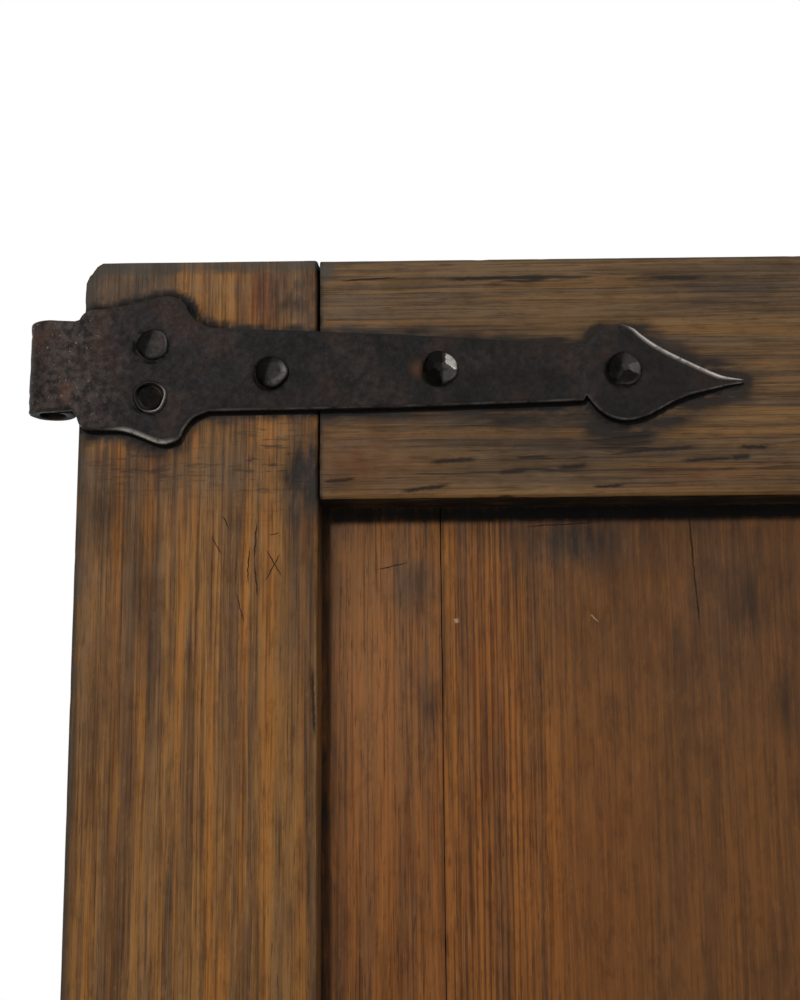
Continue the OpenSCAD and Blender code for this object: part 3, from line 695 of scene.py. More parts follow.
def strap_grime_and_shadow(points):
    """Soil against the straps on the front, with a painted shadow along and below each one, and soil round
    the ends of their nails on the back.
    """
    gap = np.maximum(strap_and_shadow_gap(points), 0)
    blotch = noise(points, (8, 8, 5), 55)
    wide = smoothstep(SPEAR_X + 10, SPEAR_X + 40, points[:, 0])
    over = np.zeros(len(points))
    for eye_z in (UPPER_EYE_Z, LOWER_EYE_Z):
        rise = points[:, 2] - eye_z
        over = most(over, smoothstep(0, 6, rise) * (rise < STRAP_REACH))
    soft = smoothstep(6.0 + 4.0 * wide, 1.6 + 2.0 * wide, gap + 2.6 * blotch)
    # Painted shadow: full darkness along each strap's edge and over the shifted outline below it.
    grime_and_shadow = most(
        1.02 * bell(gap, 1.1),
        (0.62 + 0.24 * wide) * soft,
        0.9 * over * smoothstep(5.4, 2.6, gap + 1.9 * blotch),
    )
    for eye_z in (UPPER_EYE_Z, LOWER_EYE_Z):
        for place in nail_places(eye_z):
            reach = np.linalg.norm(points[:, (0, 2)] - place, axis=1)
            grime_and_shadow = most(grime_and_shadow, 0.7 * bell(reach, 9) * (points[:, 1] > BACK_Y - 6))
    return grime_and_shadow


def weather(mesh, low, high, grain, seed, edge_wear, seams=(), firm=()):
    """Wears a board's faces and arrises inwards and returns its places before that."""
    points = coordinates(mesh)
    out = read(mesh, "normal")
    low, high = np.array(low), np.array(high)
    gaps = np.minimum(np.abs(points - low), np.abs(points - high))
    inside = ((points > low - 0.5) & (points < high + 0.5)).all(axis=1)
    gaps = np.sort(gaps, axis=1)
    shell = inside & (gaps[:, 0] < 2.5)
    arris = bell(gaps[:, 1], 3.2)
    wave = noise(points, grain, seed) * 0.5 + 0.5
    ragged = noise(points, np.minimum(grain, 13), seed + 1)
    chips = smoothstep(0.30, 0.75, noise(points, np.minimum(grain, 9), seed + 2))
    for axis, place in firm:
        edge_wear = edge_wear * np.where(np.abs(points[:, axis] - place) < 6, 0.3, 1.0)
    depth = 0.25 * wave + arris * edge_wear * (0.25 + 0.35 * np.maximum(ragged, 0) + 1.1 * chips)
    depth = depth * shell
    core = np.abs(points[:, 1] - (low[1] + high[1]) / 2) < (high[1] - low[1]) / 2 - 3
    moved = points - out * depth[:, None]
    for seam, reach in seams:
        at_seam = (np.abs(points[:, 0] - seam) < 0.3) & core
        aside = points + np.sign(out[:, :1]) * (reach, 0, 0)
        moved = np.where(at_seam[:, None], aside, moved)
    set_coordinates(mesh, moved)
    return points, gaps, ragged


# Size of the grain's waves, for wood that stands and wood that lies
UPRIGHT_GRAIN = (35, 35, 190)
LEVEL_GRAIN = (190, 35, 35)


def hinge_stile():
    x0, x1 = stile_low.x, stile_high.x
    mesh = refined(
        "hinge_stile",
        arris_steps(x0, x1, 1.7),
        arris_steps(FRONT_Y, BACK_Y, 9),
        steps(LEAF_FOOT, LEAF_TOP, 1.9, 15, LEAF_TOP - SEEN_DOWN, LEAF_TOP),
    )
    firm = [(0, x0), (0, x1), (2, LEAF_TOP)]
    p, _, ragged = weather(mesh, stile_low, stile_high, UPRIGHT_GRAIN, 3, 1.0, [(x1, 0.0)], firm)
    x, d = p[:, 0], LEAF_TOP - p[:, 2]
    front = p[:, 1] < FRONT_Y + 3
    near_front = p[:, 1] < FRONT_Y + 9
    gap = strap_and_shadow_gap(p)

    moved = coordinates(mesh)
    open_joint = smoothstep(48, 30, d) * bell(x1 - x, 2.0) * near_front
    moved[:, 0] -= open_joint * (0.7 + 0.6 * ragged + 0.2 * smoothstep(22, 0, d))
    above = front * (p[:, 2] > UPPER_EYE_Z) * (x > x0 + 2) * (x < NECK_X + 6)
    lip = bell(gap - 3.2, 1.5) * (0.75 + 0.35 * ragged)
    moved[:, 1] -= above * (lip - 1.1 * bell(np.maximum(gap, 0), 1.3))
    corner = (x < x0 + 10) * (d < 31) * (d > 0.5)
    broken = noise(p, (4, 9, 5), 77)
    moved[:, 0] += corner * bell(x - x0, 6) * np.maximum(broken, 0) * 0.7
    set_coordinates(mesh, moved)

    blotch = noise(p, (6, 6, 9), 41)
    crazed = smoothstep(-0.1, 0.5, noise(p, (2.2, 9, 5), 43))
    sound = 1 - 0.75 * smoothstep(140, 175, d)
    dirt_and_shade = most(
        0.7 * bell(x - x0, 3.0),
        bell(x1 - x, 5.5) * (0.4 + 0.35 * ragged) * sound,
        (0.55 + 0.35 * smoothstep(60, 40, d)) * bell(x - x1, 1.4) * sound,
    )
    dirt_and_shade += dabs(x, d, (1.1, x1 - 8, 104, 8, 21)) * (0.55 + 0.45 * crazed + 0.3 * blotch)
    dirt_and_shade += crazed * dabs(x, d, (0.65, 110, 19, 13, 15), (0.35, 99, 104, 10, 10))
    dirt_and_shade += dabs(
        x, d, (0.62, 26, 120, 9, 24), (0.58, 44, 152, 6, 40), (0.25, x1 - 12, 150, 6, 50),
        (0.5, 85, 13, 1.6, 9), (0.3, 84, 125, 5, 5),
    )
    # A dark wedge right of the head's upper lobe, between strap and wood: dirt and painted shade.
    notch_dirt_and_shade = smoothstep(6.0, 3.4, gap) * dabs(x, d, (1.1, 65, 22, 8, 10))
    edge = x - x0 + 1.1 * blotch
    grey = smoothstep(60, 48, x) * smoothstep(38, 28, d)
    splinters = bell(x - x1 + 1.2, 0.8) * smoothstep(160, 185, d) * smoothstep(0, 0.4, ragged + 0.3)
    return finish(
        mesh, WOOD_CREASE,
        dirt_and_shade=most(np.minimum(dirt_and_shade, 0.86), notch_dirt_and_shade * front, strap_grime_and_shadow(p)),
        soot_and_shade=most(
            0.95 * smoothstep(7.6, 5.2, d + 0.02 * (x - x0) + 1.5 * blotch),
            0.9 * smoothstep(6.0, 4.0, edge) * smoothstep(36, 32, d),
            0.75 * smoothstep(4.6, 1.6, edge) * near_front,
        ),
        grey=grey + dabs(x, d, (0.6, 70, 100, 50, 13), (0.6, 110, 14, 18, 16)),
        pale=splinters + dabs(x, d, (1.0, 69, 12, 15, 7), (0.35, 80, 95, 26, 16)),
        warm=dabs(x, d, (0.9, 96, 18, 8, 11), (0.5, 48, 93, 12, 8), (0.8, 119, 126, 3, 5)),
        gold=dabs(x, d, (0.9, 102, 160, 5, 50), (0.8, 104, 235, 7, 60)),
        ticks=dabs(x, d, (0.8, 100, 95, 22, 20), (0.7, 45, 97, 30, 12)),
        splits=0.15 + dabs(x, d, (0.5, 100, 22, 18, 16), (0.5, 112, 150, 7, 60)),
    )


def top_rail():
    x0, x1 = OPENING_X0 + SHOULDER_GAP, OPENING_X1 - SHOULDER_GAP
    low = Vector((x0, FRONT_Y, top_low.z))
    high = Vector((x1, BACK_Y, top_high.z))
    mesh = refined(
        "top_rail",
        steps(x0, x1, 2.0, 13, OPENING_X0, SEEN_X),
        arris_steps(FRONT_Y, BACK_Y, 9),
        arris_steps(top_low.z, top_high.z, 2.2),
    )
    shoulders = [(low.x, SHOULDER_GAP), (high.x, SHOULDER_GAP)]
    firm = [(2, LEAF_TOP), (0, low.x)]
    p, _, _ = weather(mesh, low, high, LEVEL_GRAIN, 11, 0.8, shoulders, firm)
    x, d = p[:, 0], LEAF_TOP - p[:, 2]
    blotch = noise(p, (9, 6, 4), 47)
    halo = dabs(
        x, d, (0.6, 301, 52, 15, 5.5), (0.6, 286, 75, 16, 5), (0.6, 247, 39, 8, 6), (0.5, 262, 83, 22, 7),
        (0.5, 222, 76, 28, 6), (0.42, 218, 94, 44, 13), (0.3, 290, 11, 30, 5), (0.3, 131, 104, 9, 8),
        (0.15, 150, 88, 30, 16),
    )
    halo += 0.42 * smoothstep(13, 4, strap_and_shadow_gap(p)) * (p[:, 2] < UPPER_EYE_Z) * smoothstep(130, 190, x)
    # Painted shade on the rail's underside, in the recess over the panel.
    under = (p[:, 2] < low.z + 0.6) & (p[:, 1] > FRONT_Y + 1.2)
    return finish(
        mesh, WOOD_CREASE,
        dirt_and_shade=most(
            np.minimum(halo, 0.84) * (p[:, 1] < FRONT_Y + 6),
            strap_grime_and_shadow(p),
            0.45 * bell(d, 1.4),
            0.8 * bell(x - low.x, 1.6),
            0.84 * under,
        ),
        soot_and_shade=most(
            0.85 * smoothstep(10, 4, np.hypot(x - low.x, 1.2 * (d - 5)) + 3 * blotch),
            0.7 * smoothstep(1.8, 0.6, d + 0.5 * blotch),
        ),
        grey=dabs(x, d, (0.75, 320, 12, 40, 16), (0.5, 205, 10, 50, 5), (0.5, 235, 95, 40, 7)),
        pale=dabs(x, d, (0.5, 200, 24, 55, 7), (0.4, 220, 110, 90, 4)) + 0.5 * smoothstep(8, 3, d),
        warm=dabs(x, d, (0.8, 142, 95, 22, 12), (0.5, 300, 104, 30, 7)),
        splits=0.25 + dabs(x, d, (0.75, 250, 95, 110, 11), (0.75, 210, 10, 60, 5)),
    )


def plain_bar(node, low, high, upright, seed):
    """A stile or rail that the photograph doesn't show."""
    through = arris_steps(FRONT_Y, BACK_Y, 9)
    if upright:
        mesh = refined(node, arris_steps(low.x, high.x, 7), through, steps(low.z, high.z, 9))
        grain = UPRIGHT_GRAIN
        seams = [(low.x, 0.0)]
    else:
        mesh = refined(node, steps(low.x, high.x, 9), through, arris_steps(low.z, high.z, 6))
        grain = LEVEL_GRAIN
        seams = [(low.x, SHOULDER_GAP), (high.x, SHOULDER_GAP)]
    p, gaps, ragged = weather(mesh, low, high, grain, seed, 0.9, seams)
    return finish(
        mesh, WOOD_CREASE,
        dirt_and_shade=most(strap_grime_and_shadow(p), 0.6 * bell(gaps[:, 1], 3.0), latch_grime(p)),
        grey=0.5 * smoothstep(0.1, 0.8, noise(p, (60, 60, 60), seed + 5)),
        warm=0.5 * smoothstep(0.2, 0.8, noise(p, (80, 80, 80), seed + 6)),
        splits=0.4 + 0.4 * ragged,
    )


def latch_grime(points):
    """Dirt from hands round the thumb latch, on both faces."""
    middle = np.array([LATCH_X, LATCH_Z])
    reach = np.linalg.norm((points[:, (0, 2)] - middle) / (60, 130), axis=1)
    return 0.55 * bell(reach, 1)


def board(node, fine):
    """One board of a panel; darkest along its top edge, in the painted shadow under the rail."""
    low, high = box(node)
    inner = [v for v in (low.x, high.x) if OPENING_X0 < v < OPENING_X1]
    if fine:
        across = steps(low.x, high.x, 2.2, 9, low.x, SEEN_X)
        upwards = steps(low.z, high.z, 2.4, 16, LEAF_TOP - SEEN_DOWN, LEAF_TOP)
    else:
        across = steps(low.x, high.x, 8)
        upwards = steps(low.z, high.z, 14)
    across += [v + side * d for v in (low.x, high.x) for side in (-1, 1) for d in (0.35, 0.9, 1.7)]
    across = sorted(v for v in across if low.x + 0.2 < v < high.x - 0.2)
    seed = 30 + list(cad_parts).index(node)
    mesh = refined(node, across, (low.y + 2.1, low.y + 7.1, high.y - 2.1), upwards)
    seams = [(v, 0.13) for v in inner]
    p, _, ragged = weather(mesh, low, high, (45, 45, 260), seed, 0.45, seams, [(0, v) for v in inner])
    x, d = p[:, 0], LEAF_TOP - p[:, 2]
    faces = (p[:, 1] < low.y + 0.5) | (p[:, 1] > high.y - 0.5)
    dirt_and_shade = np.zeros(len(p))
    for edge in inner:
        dirt_and_shade = most(dirt_and_shade, 0.3 * bell(x - edge, 0.9))
    # Dirt and painted shade on the panel beside the stiles.
    for edge in (OPENING_X0, OPENING_X1):
        dirt_and_shade = most(dirt_and_shade, (0.75 + 0.2 * ragged) * np.exp(-(np.abs(x - edge) / 7.0) ** 1.5))
    for rail in ("top_rail", "lock_rail", "bottom_rail"):
        rail_low, rail_high = (v.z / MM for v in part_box(rail))
        under = np.where(p[:, 2] < rail_low, rail_low - p[:, 2], 0)
        above = np.where(p[:, 2] > rail_high, p[:, 2] - rail_high, 1e3)
        # A painted shadow on the panel just under each rail.
        rail_shadow = 0.85 * (1 - smoothstep(5.0, 6.8, under)) * (p[:, 2] < rail_low + 1)
        dirt_and_shade = most(dirt_and_shade, rail_shadow, 0.6 * bell(above, 5.0))
    grey = 0.35 * smoothstep(0.1, 0.8, noise(p, (70, 70, 90), seed + 5))
    warm = 0.35 * smoothstep(0.1, 0.8, noise(p, (60, 60, 200), seed + 6))
    pale = np.zeros(len(p))
    reeds = np.zeros(len(p))
    calm = 0.7 * smoothstep(215, 245, x)
    if node == "upper_panel_board_1":
        warm += dabs(x, d, (0.8, 145, 195, 30, 70))
        pale += dabs(x, d, (0.7, 143, 190, 24, 80))
        grey += dabs(x, d, (0.8, 163, 148, 13, 13), (0.5, 170, 205, 6, 40))
        dirt_and_shade += dabs(x, d, (0.55, 172, 204, 3, 9), (0.3, 164, 150, 9, 14))
    if node == "upper_panel_board_2":
        calm = smoothstep(215, 245, x)
        reeds = smoothstep(179, 184, x) * smoothstep(228, 208, x) * (0.75 + 0.25 * ragged)
        grey += dabs(x, d, (0.8, 240, 130, 24, 11), (0.4, 310, 160, 22, 60))
        warm += dabs(x, d, (0.5, 200, 190, 16, 50))
        dirt_and_shade += 0.14 * calm * smoothstep(230, 130, d) + 0.07 * calm
        dirt_and_shade += dabs(
            x, d, (0.42, 240, 131, 20, 8), (0.25, 212, 140, 4, 30), (0.35, 318, 160, 7, 14),
            (0.4, 332, 205, 5, 14),
        )
    dirt_and_shade += 0.1 * calm + dabs(x, d, (0.25, 200, 121, 90, 6))
    return finish(
        mesh, WOOD_CREASE,
        dirt_and_shade=dirt_and_shade * faces + 0.4 * ~faces,
        grey=grey,
        warm=warm,
        pale=pale,
        reeds=reeds,
        calm=calm,
        splits=np.full(len(p), 0.3),
    )


def wooden_pieces():
    add_piece("hinge_stile", hinge_stile(), "leaf", "stile_wood")
    add_piece("top_rail", top_rail(), "leaf", "rail_wood")
    add_piece("lock_stile", plain_bar("lock_stile", lock_low, lock_high, True, 17), "leaf", "stile_wood")
    for seed, node in ((21, "lock_rail"), (25, "bottom_rail")):
        low, high = box(node)
        low.x, high.x = OPENING_X0 + SHOULDER_GAP, OPENING_X1 - SHOULDER_GAP
        add_piece(node, plain_bar(node, low, high, False, seed), "leaf", "rail_wood")
    for node in list(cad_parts):
        if "board" in node:
            seen = node in ("upper_panel_board_1", "upper_panel_board_2")
            add_piece(node, board(node, seen), "leaf", "panel_wood")
        elif "wedges" in node:
            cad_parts[node].data.materials.clear()
            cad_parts[node].data.materials.append(MATERIALS["wedge_wood"])


# Ironwork


def bent(s, z, depth):
    """From the flat strap to the rolled one: s runs along it and turns round the eye below zero.

    The roll's end lies on the strap's back, so each radius turns as far as that flat end."""
    rolled = s < 0
    radius = EYE_R - depth
    whole = 1.5 * math.pi + np.arcsin(np.minimum((EYE_R - STRAP_T - EYE_BULGE - LAP_GAP) / radius, 1))
    turn = -math.pi / 2 + np.minimum(s, 0) / CURL_L * whole
    flat_y = -EYE_R + EYE_BULGE * smoothstep(0, 5, s) + depth
    x = np.where(rolled, radius * np.cos(turn), s)
    y = np.where(rolled, radius * np.sin(turn), flat_y)
    return np.stack([x, y, z], axis=1)


def inward(ring, distances):
    """A closed ring moved inwards, square to the line between each point's neighbours."""
    along = np.roll(ring, -1, axis=0) - np.roll(ring, 1, axis=0)
    along /= np.maximum(np.linalg.norm(along, axis=1), 1e-9)[:, None]
    return ring + distances[:, None] * np.stack([along[:, 1], -along[:, 0]], axis=1)


def bevel_width(ring):
    """How far the hammered bevel runs in from each place on a strap's outline."""
    s, z = ring.T
    spear = smoothstep(SPEAR_X + 14, SPEAR_X + 30, s) * (z > -SPEAR_DROP - TIP_DROP)
    lobe = smoothstep(26, 36, s) * smoothstep(64, 56, s) * (z < -20)
    return 1.2 + 1.6 * spear + 1.1 * lobe


# Section of a strap's edge: how far in, as a share of its bevel, and how deep below the face
EDGE_SECTION = (
    (1.0, 0.0), (0.62, 0.1), (0.3, 0.4), (0.08, 0.95), (0.0, 1.7), (0.0, 4.4), (0.25, 4.85), (0.7, 5.0),
)


def strap_mesh(node, eye_z, seed):
    """A strap forged from one bar: bevelled edges, hammered face and an eye rolled from its end."""
    count = 44
    columns = 26
    curl = [(CURL_L * (k / count - 1), EYE_H / 2) for k in range(count)]
    top = np.array(curl + TOP_EDGE)
    low = np.array([(s, -z) for s, z in curl] + LOW_EDGE)
    n = len(top)

    ends = []
    for a, b in ((top[-1], low[-1]), (low[0], top[0])):
        ends.append(np.array([a + (b - a) * k / columns for k in range(1, columns)]))
    outer = np.concatenate([top, ends[0], low[::-1], ends[1]])
    across = np.linalg.norm(top - low, axis=1)
    room = np.concatenate([across, 0 * ends[0][:, 0] + TIP_W, across[::-1], 0 * ends[1][:, 0] + EYE_H])
    bevel = np.minimum(bevel_width(outer), 0.44 * room)
    rings = [inward(outer, share * bevel) for share, _ in EDGE_SECTION]
    size = len(outer)
    flat = [(s, z, depth) for ring, (_, depth) in zip(rings, EDGE_SECTION) for s, z in ring]
    faces = []
    for k in range(len(EDGE_SECTION) - 1):
        for i in range(size):
            j = (i + 1) % size
            faces.append((k * size + i, k * size + j, (k + 1) * size + j, (k + 1) * size + i))
    inner = np.arange(1, columns)
    for k, flip in ((0, False), (len(EDGE_SECTION) - 1, True)):
        first = k * size
        index = np.empty((n, columns + 1), int)
        index[:, 0] = first + np.arange(n)
        index[:, columns] = first + 2 * n + columns - 2 - np.arange(n)
        index[0, inner] = first + size - inner
        index[-1, inner] = first + n + inner - 1
        index[1:-1, inner] = len(flat) + np.arange((n - 2) * len(inner)).reshape(n - 2, -1)
        for i in range(1, n - 1):
            a, b = rings[k][i], rings[k][2 * n + columns - 2 - i]
            flat += [(*(a + (b - a) * c / columns), EDGE_SECTION[k][1]) for c in inner]
        for i in range(n - 1):
            for c in range(columns):
                quad = (index[i, c], index[i, c + 1], index[i + 1, c + 1], index[i + 1, c])
                faces.append(quad[::-1] if flip else quad)
    flat = np.array(flat)
    s, z, depth = flat.T
    front = 1 - smoothstep(1.5, 3.0, depth)
    hammer = 0.5 + 0.5 * noise(flat, (13, 11, 50), seed)
    dents = smoothstep(0.1, 0.8, noise(flat, (7, 7, 50), seed + 1))
    pitted = smoothstep(45, 5, s) * smoothstep(0.1, 0.7, noise(flat, (2.6, 2.6, 50), seed + 2))
    depth = depth + front * (0.30 * hammer + 0.16 * dents + 0.28 * pitted)
    depth = depth + 3.0 * smoothstep(TIP_X - 26, TIP_X, s) * (1 - depth / STRAP_T)
    points = bent(s, z, depth) + np.array([0, 0, eye_z])
    mesh = bpy.data.meshes.new(node + "_detail")
    mesh.from_pydata([tuple(v) for v in points * MM], [], faces)
    mesh.validate()
    work = bmesh.new()
    work.from_mesh(mesh)
    bmesh.ops.recalc_face_normals(work, faces=work.faces)
    work.to_mesh(mesh)
    work.free()
    on_edge = smoothstep(0.02, 0.3, flat[:, 2]) * smoothstep(1.9, 0.8, flat[:, 2])
    ragged = noise(flat, (16, 16, 50), seed + 3)
    broken = noise(flat, (5, 5, 50), seed + 4)
    spear_edge = smoothstep(SPEAR_X + 17, SPEAR_X + 26, s) * (z > -SPEAR_DROP - TIP_DROP)
    head_edge = smoothstep(28, 38, s) * smoothstep(60, 52, s) * (z < -20)
    low_edge = smoothstep(20, 30, s) * (z < -SPEAR_DROP - TIP_DROP)
    # Burnished edges, brightest on the spear's upper edge and the head's lower lobe: wear with painted
    # glints where the light catches.
    worn = on_edge * (0.05 + 1.1 * spear_edge + 0.85 * head_edge + 0.3 * low_edge * (0.7 + 0.6 * broken))
    rust = 0.06 + 0.9 * smoothstep(50, 8, s + 9 * ragged) + 0.3 * smoothstep(0.2, 0.8, ragged)
    barrel_end = (np.abs(z) > EYE_H / 2 - 3) * (s < EYE_R)
    root_line = bell(s - 9 - 2 * ragged, 3.5)
    pits = smoothstep(34, 8, s + 14 * ragged) * (0.55 + 0.3 * broken) + 0.6 * root_line + 0.8 * barrel_end
    soot_and_shade = 0.3 * smoothstep(75, 110, s) * smoothstep(SPEAR_X + 4, SPEAR_X - 25, s)
    # A painted shadow round each nail head on the strap, set off to the lower left.
    for nail_x, nail_z in nail_places(0):
        away = np.hypot(s - nail_x + 0.7, z - nail_z + 0.7)
        soot_and_shade = most(soot_and_shade, 0.75 * bell(away - 7.6, 1.5))
    stain_x, stain_z = nail_places(0)[3]
    brown = smoothstep(0.1, 0.6, noise(flat, (8, 13, 50), seed + 5))
    stain = most(dabs(s, z, (1.0, stain_x - 10.5, stain_z, 2.6, 3.6)), 0.4 * smoothstep(40, 6, s) * brown)
    return finish(
        mesh, 50, worn=worn, rust=rust, pits=pits, soot_and_shade=soot_and_shade * (depth < 1.6), stain=stain * (depth < 1.2)
    )


def stub(node, plane_y):
    """The part of a node behind a plane square to Y, closed."""
    work = loaded(node)
    whole = list(work.verts) + list(work.edges) + list(work.faces)
    at = (0, plane_y * MM, 0)
    made = bmesh.ops.bisect_plane(
        work, geom=whole, dist=JOIN, plane_co=at, plane_no=(0, -1, 0), clear_outer=True
    )
    rim = [g for g in made["geom_cut"] if isinstance(g, bmesh.types.BMEdge)]
    bmesh.ops.holes_fill(work, edges=rim, sides=0)
    return work


def nail_places(eye_z):
    """Middles of a hinge's five nails in X and Z."""
    middles = [
        (HEAD_X + HEAD_L * 0.57, HEAD_H / 2 * 0.33 - HEAD_DROP),
        (HEAD_X + HEAD_L * 0.56, -HEAD_H / 2 * 0.385 - HEAD_DROP),
    ]
    for share, rise in ((0.17, -0.08), (0.62, 0.05)):
        drop = HEAD_DROP + (SPEAR_DROP - HEAD_DROP) * share
        middles.append((NECK_X + STRAP_L * share, NECK_W / 2 * rise - drop))
    middles.append((SPEAR_X + SPEAR_L * 0.255, SPEAR_W / 2 * 0.04 - SPEAR_DROP))
    return [(x, eye_z + z) for x, z in middles]


# A hinge's nail heads from the eye to the spear: kind, radius and height
NAIL_HEADS = (
    ("flat", 7.2, 4.0), ("dished", 7.8, 4.0), ("dome", 7.6, 4.2), ("split", 8.0, 4.4),
    ("ridge", 7.9, 4.4),
)

# Facets of the two rose heads: the way each one faces in degrees, its height over the middle,
# its steepness and how rubbed it is, with painted glints on the facets that face the light
FACETS = {
    "split": (
        (30, 1.5, 1.6, 1.0), (-42, 1.05, 0.85, 0.12), (-125, 1.12, 0.85, 0.0), (165, 1.13, 0.75, 0.0),
        (100, 1.1, 0.95, 0.02),
    ),
    "ridge": (
        (8, 1.05, 0.75, 0.10), (-75, 1.1, 1.0, 0.0), (-165, 1.0, 0.75, 0.0), (140, 1.12, 0.85, 0.0),
        (75, 1.1, 1.15, 0.05),
    ),
}


def head_form(kind, u, v):
    """Height of a nail's head, as a share, and how rubbed it is, with painted glints on its lit side, at
    places in the unit circle.
    """
    r = np.hypot(u, v)
    rim = smoothstep(0.80, 0.93, r)
    lit = np.clip(0.9 * u - 0.5 * v, 0, 1)
    if kind == "flat":
        lean = 0.5 + 0.5 * (u * 0.75 - v * 0.35)
        return (1 - r ** 12) * (0.06 + 0.30 * lean), 0.14 * rim * np.clip(u + 0.3 * v, 0, 1)
    if kind == "dished":
        return (1 - r ** 16) * (0.08 + 0.40 * smoothstep(0.66, 0.9, r)), 0.5 * rim * lit
    if kind == "dome":
        height = np.sqrt(np.clip(1 - r ** 2.4, 0, 1)) * (0.78 + 0.14 * (u - v))
        return height, 0.35 * smoothstep(0.45, 0.7, r) * smoothstep(0.95, 0.75, r) * lit
    planes = [np.full(len(u), 0.9)]
    for turn, rise, slope, _ in FACETS[kind]:
        ahead = u * math.cos(math.radians(turn)) + v * math.sin(math.radians(turn))
        planes.append(rise - slope * ahead)
    planes = np.array(planes)
    worn = np.array([0.03] + [facet[3] for facet in FACETS[kind]])[planes.argmin(axis=0)]
    worn = worn * smoothstep(0.98, 0.88, r) + 0.1 * rim * (v < -0.2)
    return np.minimum(planes.min(axis=0), 2.6 * (1.02 - r)), worn


def nail_head(work, kind, x, z, radius, height, seed):
    """Adds one hammered nail head standing on the strap's face, with rubbed spots, painted glints and
    painted shade.
    """
    spokes, rings = 64, 22
    layers = work.verts.layers.float
    worn_layer = layers.get("worn") or layers.new("worn")
    soot_and_shade_layer = layers.get("soot_and_shade") or layers.new("soot_and_shade")
    face = FRONT_Y - STRAP_T
    grid = []
    for k in range(1, rings + 1):
        share = (k / rings) ** 0.8
        for i in range(spokes):
            turn = math.tau * i / spokes
            grid.append((share * math.cos(turn), share * math.sin(turn), turn))
    grid = np.array([(0, 0, 0)] + grid)
    u, v, turn = grid.T
    lobes = np.sin(3 * turn + seed) * 0.4 + np.sin(5 * turn + 2.1 * seed) * 0.3
    r = radius * (1 + 0.07 * lobes)
    lift, worn = head_form(kind, u, v)
    lift = np.clip(lift, 0, 1) * height
    spots = np.stack([u * 9 + 50 * seed, v * 9, 0 * u], axis=1)
    lift = lift * (1 - 0.08 * (0.5 + 0.5 * noise(spots, (3, 3, 3), seed)))
    points = np.stack([x + u * r, face - lift, z + v * r], axis=1)
    verts = [work.verts.new(tuple(q)) for q in points * MM]
    away = np.hypot(u, v)
    # Painted shade: a dark ring at the head's foot, the dished head's hollow, and the left side of the
    # others.
    soot_and_shade = 0.6 * smoothstep(0.9, 1.0, away)
    if kind == "dished":
        soot_and_shade = most(soot_and_shade, 0.85 * smoothstep(0.80, 0.64, away + 0.1 * np.sin(2 * turn)))
    elif kind == "split":
        soot_and_shade = most(soot_and_shade, 0.8 * smoothstep(0.25, 0.05, u))
    else:
        soot_and_shade = most(soot_and_shade, 0.8 * smoothstep(0.2, -0.5, u - 0.3 * v))
    for vert, wear_and_glint, dark in zip(verts, worn, soot_and_shade):
        vert[worn_layer] = float(np.clip(wear_and_glint, 0, 1))
        vert[soot_and_shade_layer] = float(dark)
    foot = [
        work.verts.new(tuple(np.array([x + u[i] * r[i], face + 0.6, z + v[i] * r[i]]) * MM))
        for i in range(1 + (rings - 1) * spokes, 1 + rings * spokes)
    ]
    for i in range(spokes):
        j = (i + 1) % spokes
        work.faces.new((verts[0], verts[1 + i], verts[1 + j]))
        for k in range(rings - 1):
            a, b = 1 + k * spokes, 1 + (k + 1) * spokes
            work.faces.new((verts[a + i], verts[b + i], verts[b + j], verts[a + j]))
        rim = 1 + (rings - 1) * spokes
        work.faces.new((verts[rim + i], foot[i], foot[j], verts[rim + j]))
    work.faces.new(foot)


def hinge_nails(node, eye_z, seed):
    """Five wrought nails, each with a head of its own."""
    work = stub(node, FRONT_Y - STRAP_T + 0.3)
    for k, ((x, z), (kind, radius, height)) in enumerate(zip(nail_places(eye_z), NAIL_HEADS)):
        nail_head(work, kind, x, z, radius, height, seed + k)
    bmesh.ops.recalc_face_normals(work, faces=work.faces)
    mesh = detail(work, node)
    in_wood = coordinates(mesh)[:, 1] >= FRONT_Y - STRAP_T + 1
    return finish(mesh, 24, rust=np.where(in_wood, 0.8, 0.12))


def eased(node, width):
    """A copy of a node's mesh with its edges rounded off."""
    work = loaded(node)
    bmesh.ops.dissolve_limit(work, angle_limit=math.radians(2), verts=work.verts, edges=work.edges)
    sharp = [e for e in work.edges if len(e.link_faces) == 2 and e.calc_face_angle(0) > math.radians(32)]
    bmesh.ops.bevel(
        work, geom=sharp, offset=width * MM, offset_type="OFFSET", segments=2, profile=0.6,
        affect="EDGES", clamp_overlap=True,
    )
    mesh = detail(work, node)
    patches = smoothstep(0, 0.7, noise(coordinates(mesh), (14, 14, 14), 71))
    return finish(mesh, 40, rust=0.3 + 0.5 * patches)


# Pieces of the thumb latch: node, body, slot and how far its edges are rounded
LATCH_PIECES = (
    ("latch_bar", "latch_bar", "forged_iron", 0.7),
    ("latch_bar_knob", "latch_bar", "forged_iron", 0.4),
    ("latch_bar_plate", "leaf", "forged_iron", 0.5),
    ("latch_bar_rivet", "leaf", "nail_iron", 0.4),
    ("latch_staple", "leaf", "forged_iron", 0.5),
    ("latch_nails", "leaf", "nail_iron", 0.3),
    ("thumb_lever", "thumb_lever", "forged_iron", 0.7),
    ("thumb_lever_pin", "leaf", "nail_iron", 0.3),
    ("latch_handle", "leaf", "forged_iron", 0.6),
    ("latch_handle_nails", "leaf", "nail_iron", 0.3),
)


def iron_pieces():
    for name, eye_z, seed in (("upper", UPPER_EYE_Z, 5), ("lower", LOWER_EYE_Z, 9)):
        node = name + "_strap_hinge"
        add_piece(node, strap_mesh(node, eye_z, seed), "leaf", "forged_iron")
        node = name + "_hinge_nails"
        add_piece(node, hinge_nails(node, eye_z, seed), "leaf", "nail_iron")
    for node, body, slot, width in LATCH_PIECES:
        add_piece(node, eased(node, width), body, slot)


wooden_pieces()
iron_pieces()


# Stage


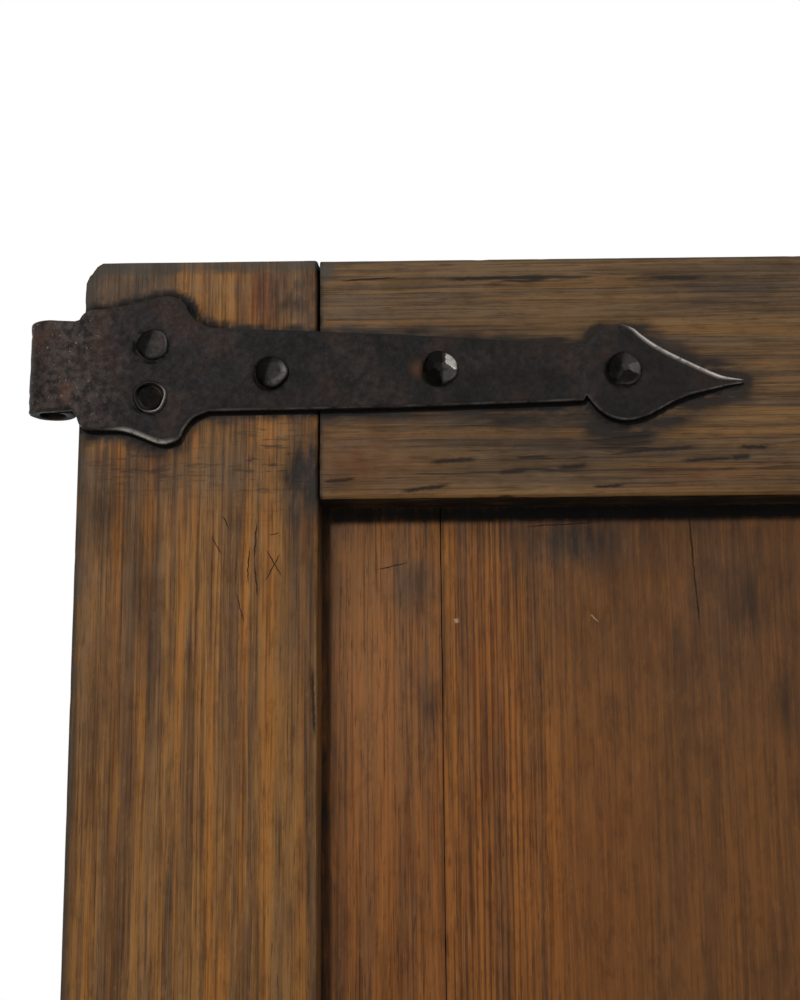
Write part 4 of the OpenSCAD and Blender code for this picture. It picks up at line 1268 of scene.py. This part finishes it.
def lamp(name, at, towards, size, watts):
    light = bpy.data.lights.new(name, "AREA")
    light.shape = "DISK"
    light.size = size
    light.energy = watts
    holder = placed(name, light)
    holder.location = at
    holder.rotation_euler = (Vector(towards) - Vector(at)).to_track_quat("-Z", "Y").to_euler()


def stage():
    mesh = bpy.data.meshes.new("floor")
    reach = 4.0
    z = cad_box[0][2]
    corners = [(-reach, -reach, z), (reach, -reach, z), (reach, reach, z), (-reach, reach, z)]
    mesh.from_pydata(corners, [], [(0, 1, 2, 3)])
    paint = Shader(bpy.data.materials.new("floor_paint"))
    mesh.materials.append(paint.finish({"Base Color": (0.78, 0.78, 0.77, 1.0), "Roughness": 0.9}))
    placed("floor", mesh)

    world = bpy.data.worlds.new("white")
    bpy.context.scene.world = world
    s = Shader(world)
    ray = s.add("LightPath").outputs
    seen = s.math("MAXIMUM", ray["Is Camera Ray"], ray["Is Glossy Ray"])
    seen = s.math("MAXIMUM", seen, ray["Is Transmission Ray"])
    light = s.spread(seen, 0.0, 1.0, 0.20, 1.0)
    s.finish({"Color": (1, 1, 1, 1), "Strength": light}, "Background", "OutputWorld")

    lamp("key", (-0.45, -2.5, 2.75), (0.2, 0.0, 1.72), 0.35, 56.0)
    lamp("window", (1.9, -1.5, 3.1), (0.3, 0.0, 1.75), 0.5, 14.0)
    lamp("behind", (0.9, 2.8, 2.0), (0.4, 0.0, 1.0), 1.2, 40.0)


# The photograph's camera: its place below the leaf's top in metres, and its yaw, pitch and roll in degrees
CAMERA_AT = (0.16943, -0.66876, LEAF_TOP * MM - 0.23740)
CAMERA_TURN = (0.851, 10.586, -0.428)


def camera():
    yaw, pitch, roll = (math.radians(v) for v in CAMERA_TURN)
    data = bpy.data.cameras.new("camera")
    data.lens = 54.0
    data.sensor_width = 36.0
    data.clip_start = 0.01
    holder = placed("camera", data)
    holder.matrix_world = (
        Matrix.Translation(CAMERA_AT)
        @ Matrix.Rotation(yaw, 4, "Z")
        @ Matrix.Rotation(math.pi / 2 + pitch, 4, "X")
        @ Matrix.Rotation(roll, 4, "Z")
    )
    bpy.context.scene.camera = holder


stage()
camera()
bpy.context.scene.view_settings.view_transform = "Standard"
